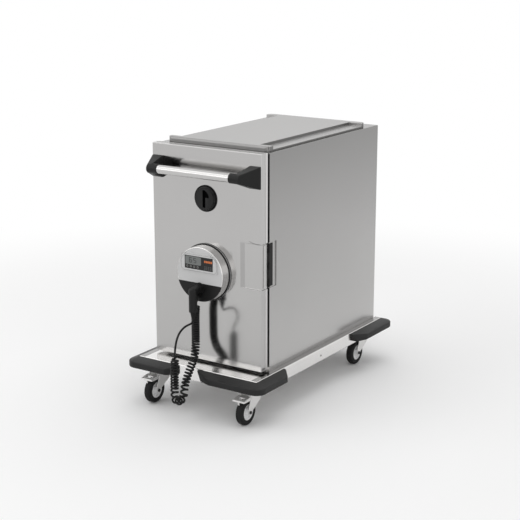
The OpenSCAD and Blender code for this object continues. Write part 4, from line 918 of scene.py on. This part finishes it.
def makeMarks():
    # Plugs over the bumpers' fixing screws, let into each arm's face
    sizes = {"wide": 32 * mm, "high": 4 * mm, "deep": .5 * mm, "proud": .15 * mm, "corner": .3,
        "frontX": .138, "sideY": .362, "z": .165, "reach": .05}
    points, facings, scales = [], [], []
    for name in ("front_left", "front_right", "rear_left", "rear_right"):
        bumper = rounded["bumper_" + name]
        low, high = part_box("bumper_" + name)
        x, y = math.copysign(1, low[0]), math.copysign(1, low[1])
        for place, out, size in (
                ((x * sizes["frontX"], (low if y < 0 else high)[1], sizes["z"]), Vector((0, y, 0)),
                    (sizes["wide"], sizes["high"], 1)),
                (((low if x < 0 else high)[0], y * sizes["sideY"], sizes["z"]), Vector((x, 0, 0)),
                    (sizes["high"], sizes["wide"], 1))):
            found, spot, normal, face = bumper.ray_cast(Vector(place) + sizes["reach"] * out, -out)
            if found:
                points.append(spot - (sizes["deep"] - sizes["proud"]) * normal)
                facings.append(normal)
                scales.append(size)
    grown("bumperPlugs", plates, pointMesh("bumperPlugs", points, facings, scales), {
        "Corner": sizes["corner"], "Thickness": sizes["deep"], "Finish": finishes["black_plastic"]},
        "cabinet")
    print("bumper plugs:", len(points))


def makeRecessShadeBead():
    # A dark bead where the top of the hinge's recess turns into the door's face: painted shade along that
    # edge
    sizes = {"radius": .7 * mm, "flatness": .8, "face": -.396,
        "line": ((.1886, .6697), (.205, .6645), (.220, .6622), (.2300, .6625))}
    path = [(x, sizes["face"], z) for x, z in sizes["line"]]
    grown("doorShadeBead", beads, pathMesh("doorShadeBead", [path]), {
        "Radius": sizes["radius"], "Flatness": sizes["flatness"], "Finish": finishes["seal_rubber"]},
        "door")


def roundedRing(x0, x1, y, z0, z1, corner, steps):
    # The points of an upright rectangle with round corners
    path = []
    for x, z, start in ((x1, z1, 0), (x0, z1, 90), (x0, z0, 180), (x1, z0, 270)):
        middleX = x - corner if x == x1 else x + corner
        middleZ = z - corner if z == z1 else z + corner
        for k in range(steps + 1):
            turn = math.radians(start + 90 * k / steps)
            path.append((middleX + corner * math.cos(turn), y, middleZ + corner * math.sin(turn)))
    return path


def makeBezelShadeLine():
    # A dark bead round the display's bezel: painted shade along the bezel's raised edge
    sizes = {"wide": 156 * mm, "high": 61 * mm, "corner": 12 * mm, "z": .573, "radius": .55 * mm,
        "flatness": .7, "steps": 5}
    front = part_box("module_face")[0][1]
    path = roundedRing(-sizes["wide"] / 2, sizes["wide"] / 2, front,
        sizes["z"] - sizes["high"] / 2, sizes["z"] + sizes["high"] / 2, sizes["corner"], sizes["steps"])
    grown("bezelShadeLine", beads, pathMesh("bezelShadeLine", [path], closed=True), {
        "Radius": sizes["radius"], "Flatness": sizes["flatness"],
        "Finish": mouldFinish("bezelShade", tone=.13, roughness=.5, rubbed=.2)}, "door")


def makeGasket():
    # Hollow bulb gasket, in one run round the door's liner
    sizes = {"bulb": 4.6 * mm, "flatness": .82, "corner": 22 * mm, "inset": 7 * mm, "steps": 6}
    low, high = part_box("door_seal")
    inset = sizes["inset"]
    path = roundedRing(low[0] + inset, high[0] - inset, (low[1] + high[1]) / 2,
        low[2] + inset, high[2] - inset, sizes["corner"], sizes["steps"])
    grown("gasketBulb", beads, pathMesh("gasketBulb", [path], closed=True), {
        "Radius": sizes["bulb"], "Flatness": sizes["flatness"], "Finish": finishes["seal_rubber"]},
        "door")


makeMarks()
makeRecessShadeBead()
makeBezelShadeLine()
makeGasket()
print("marks, beads and gasket are in")
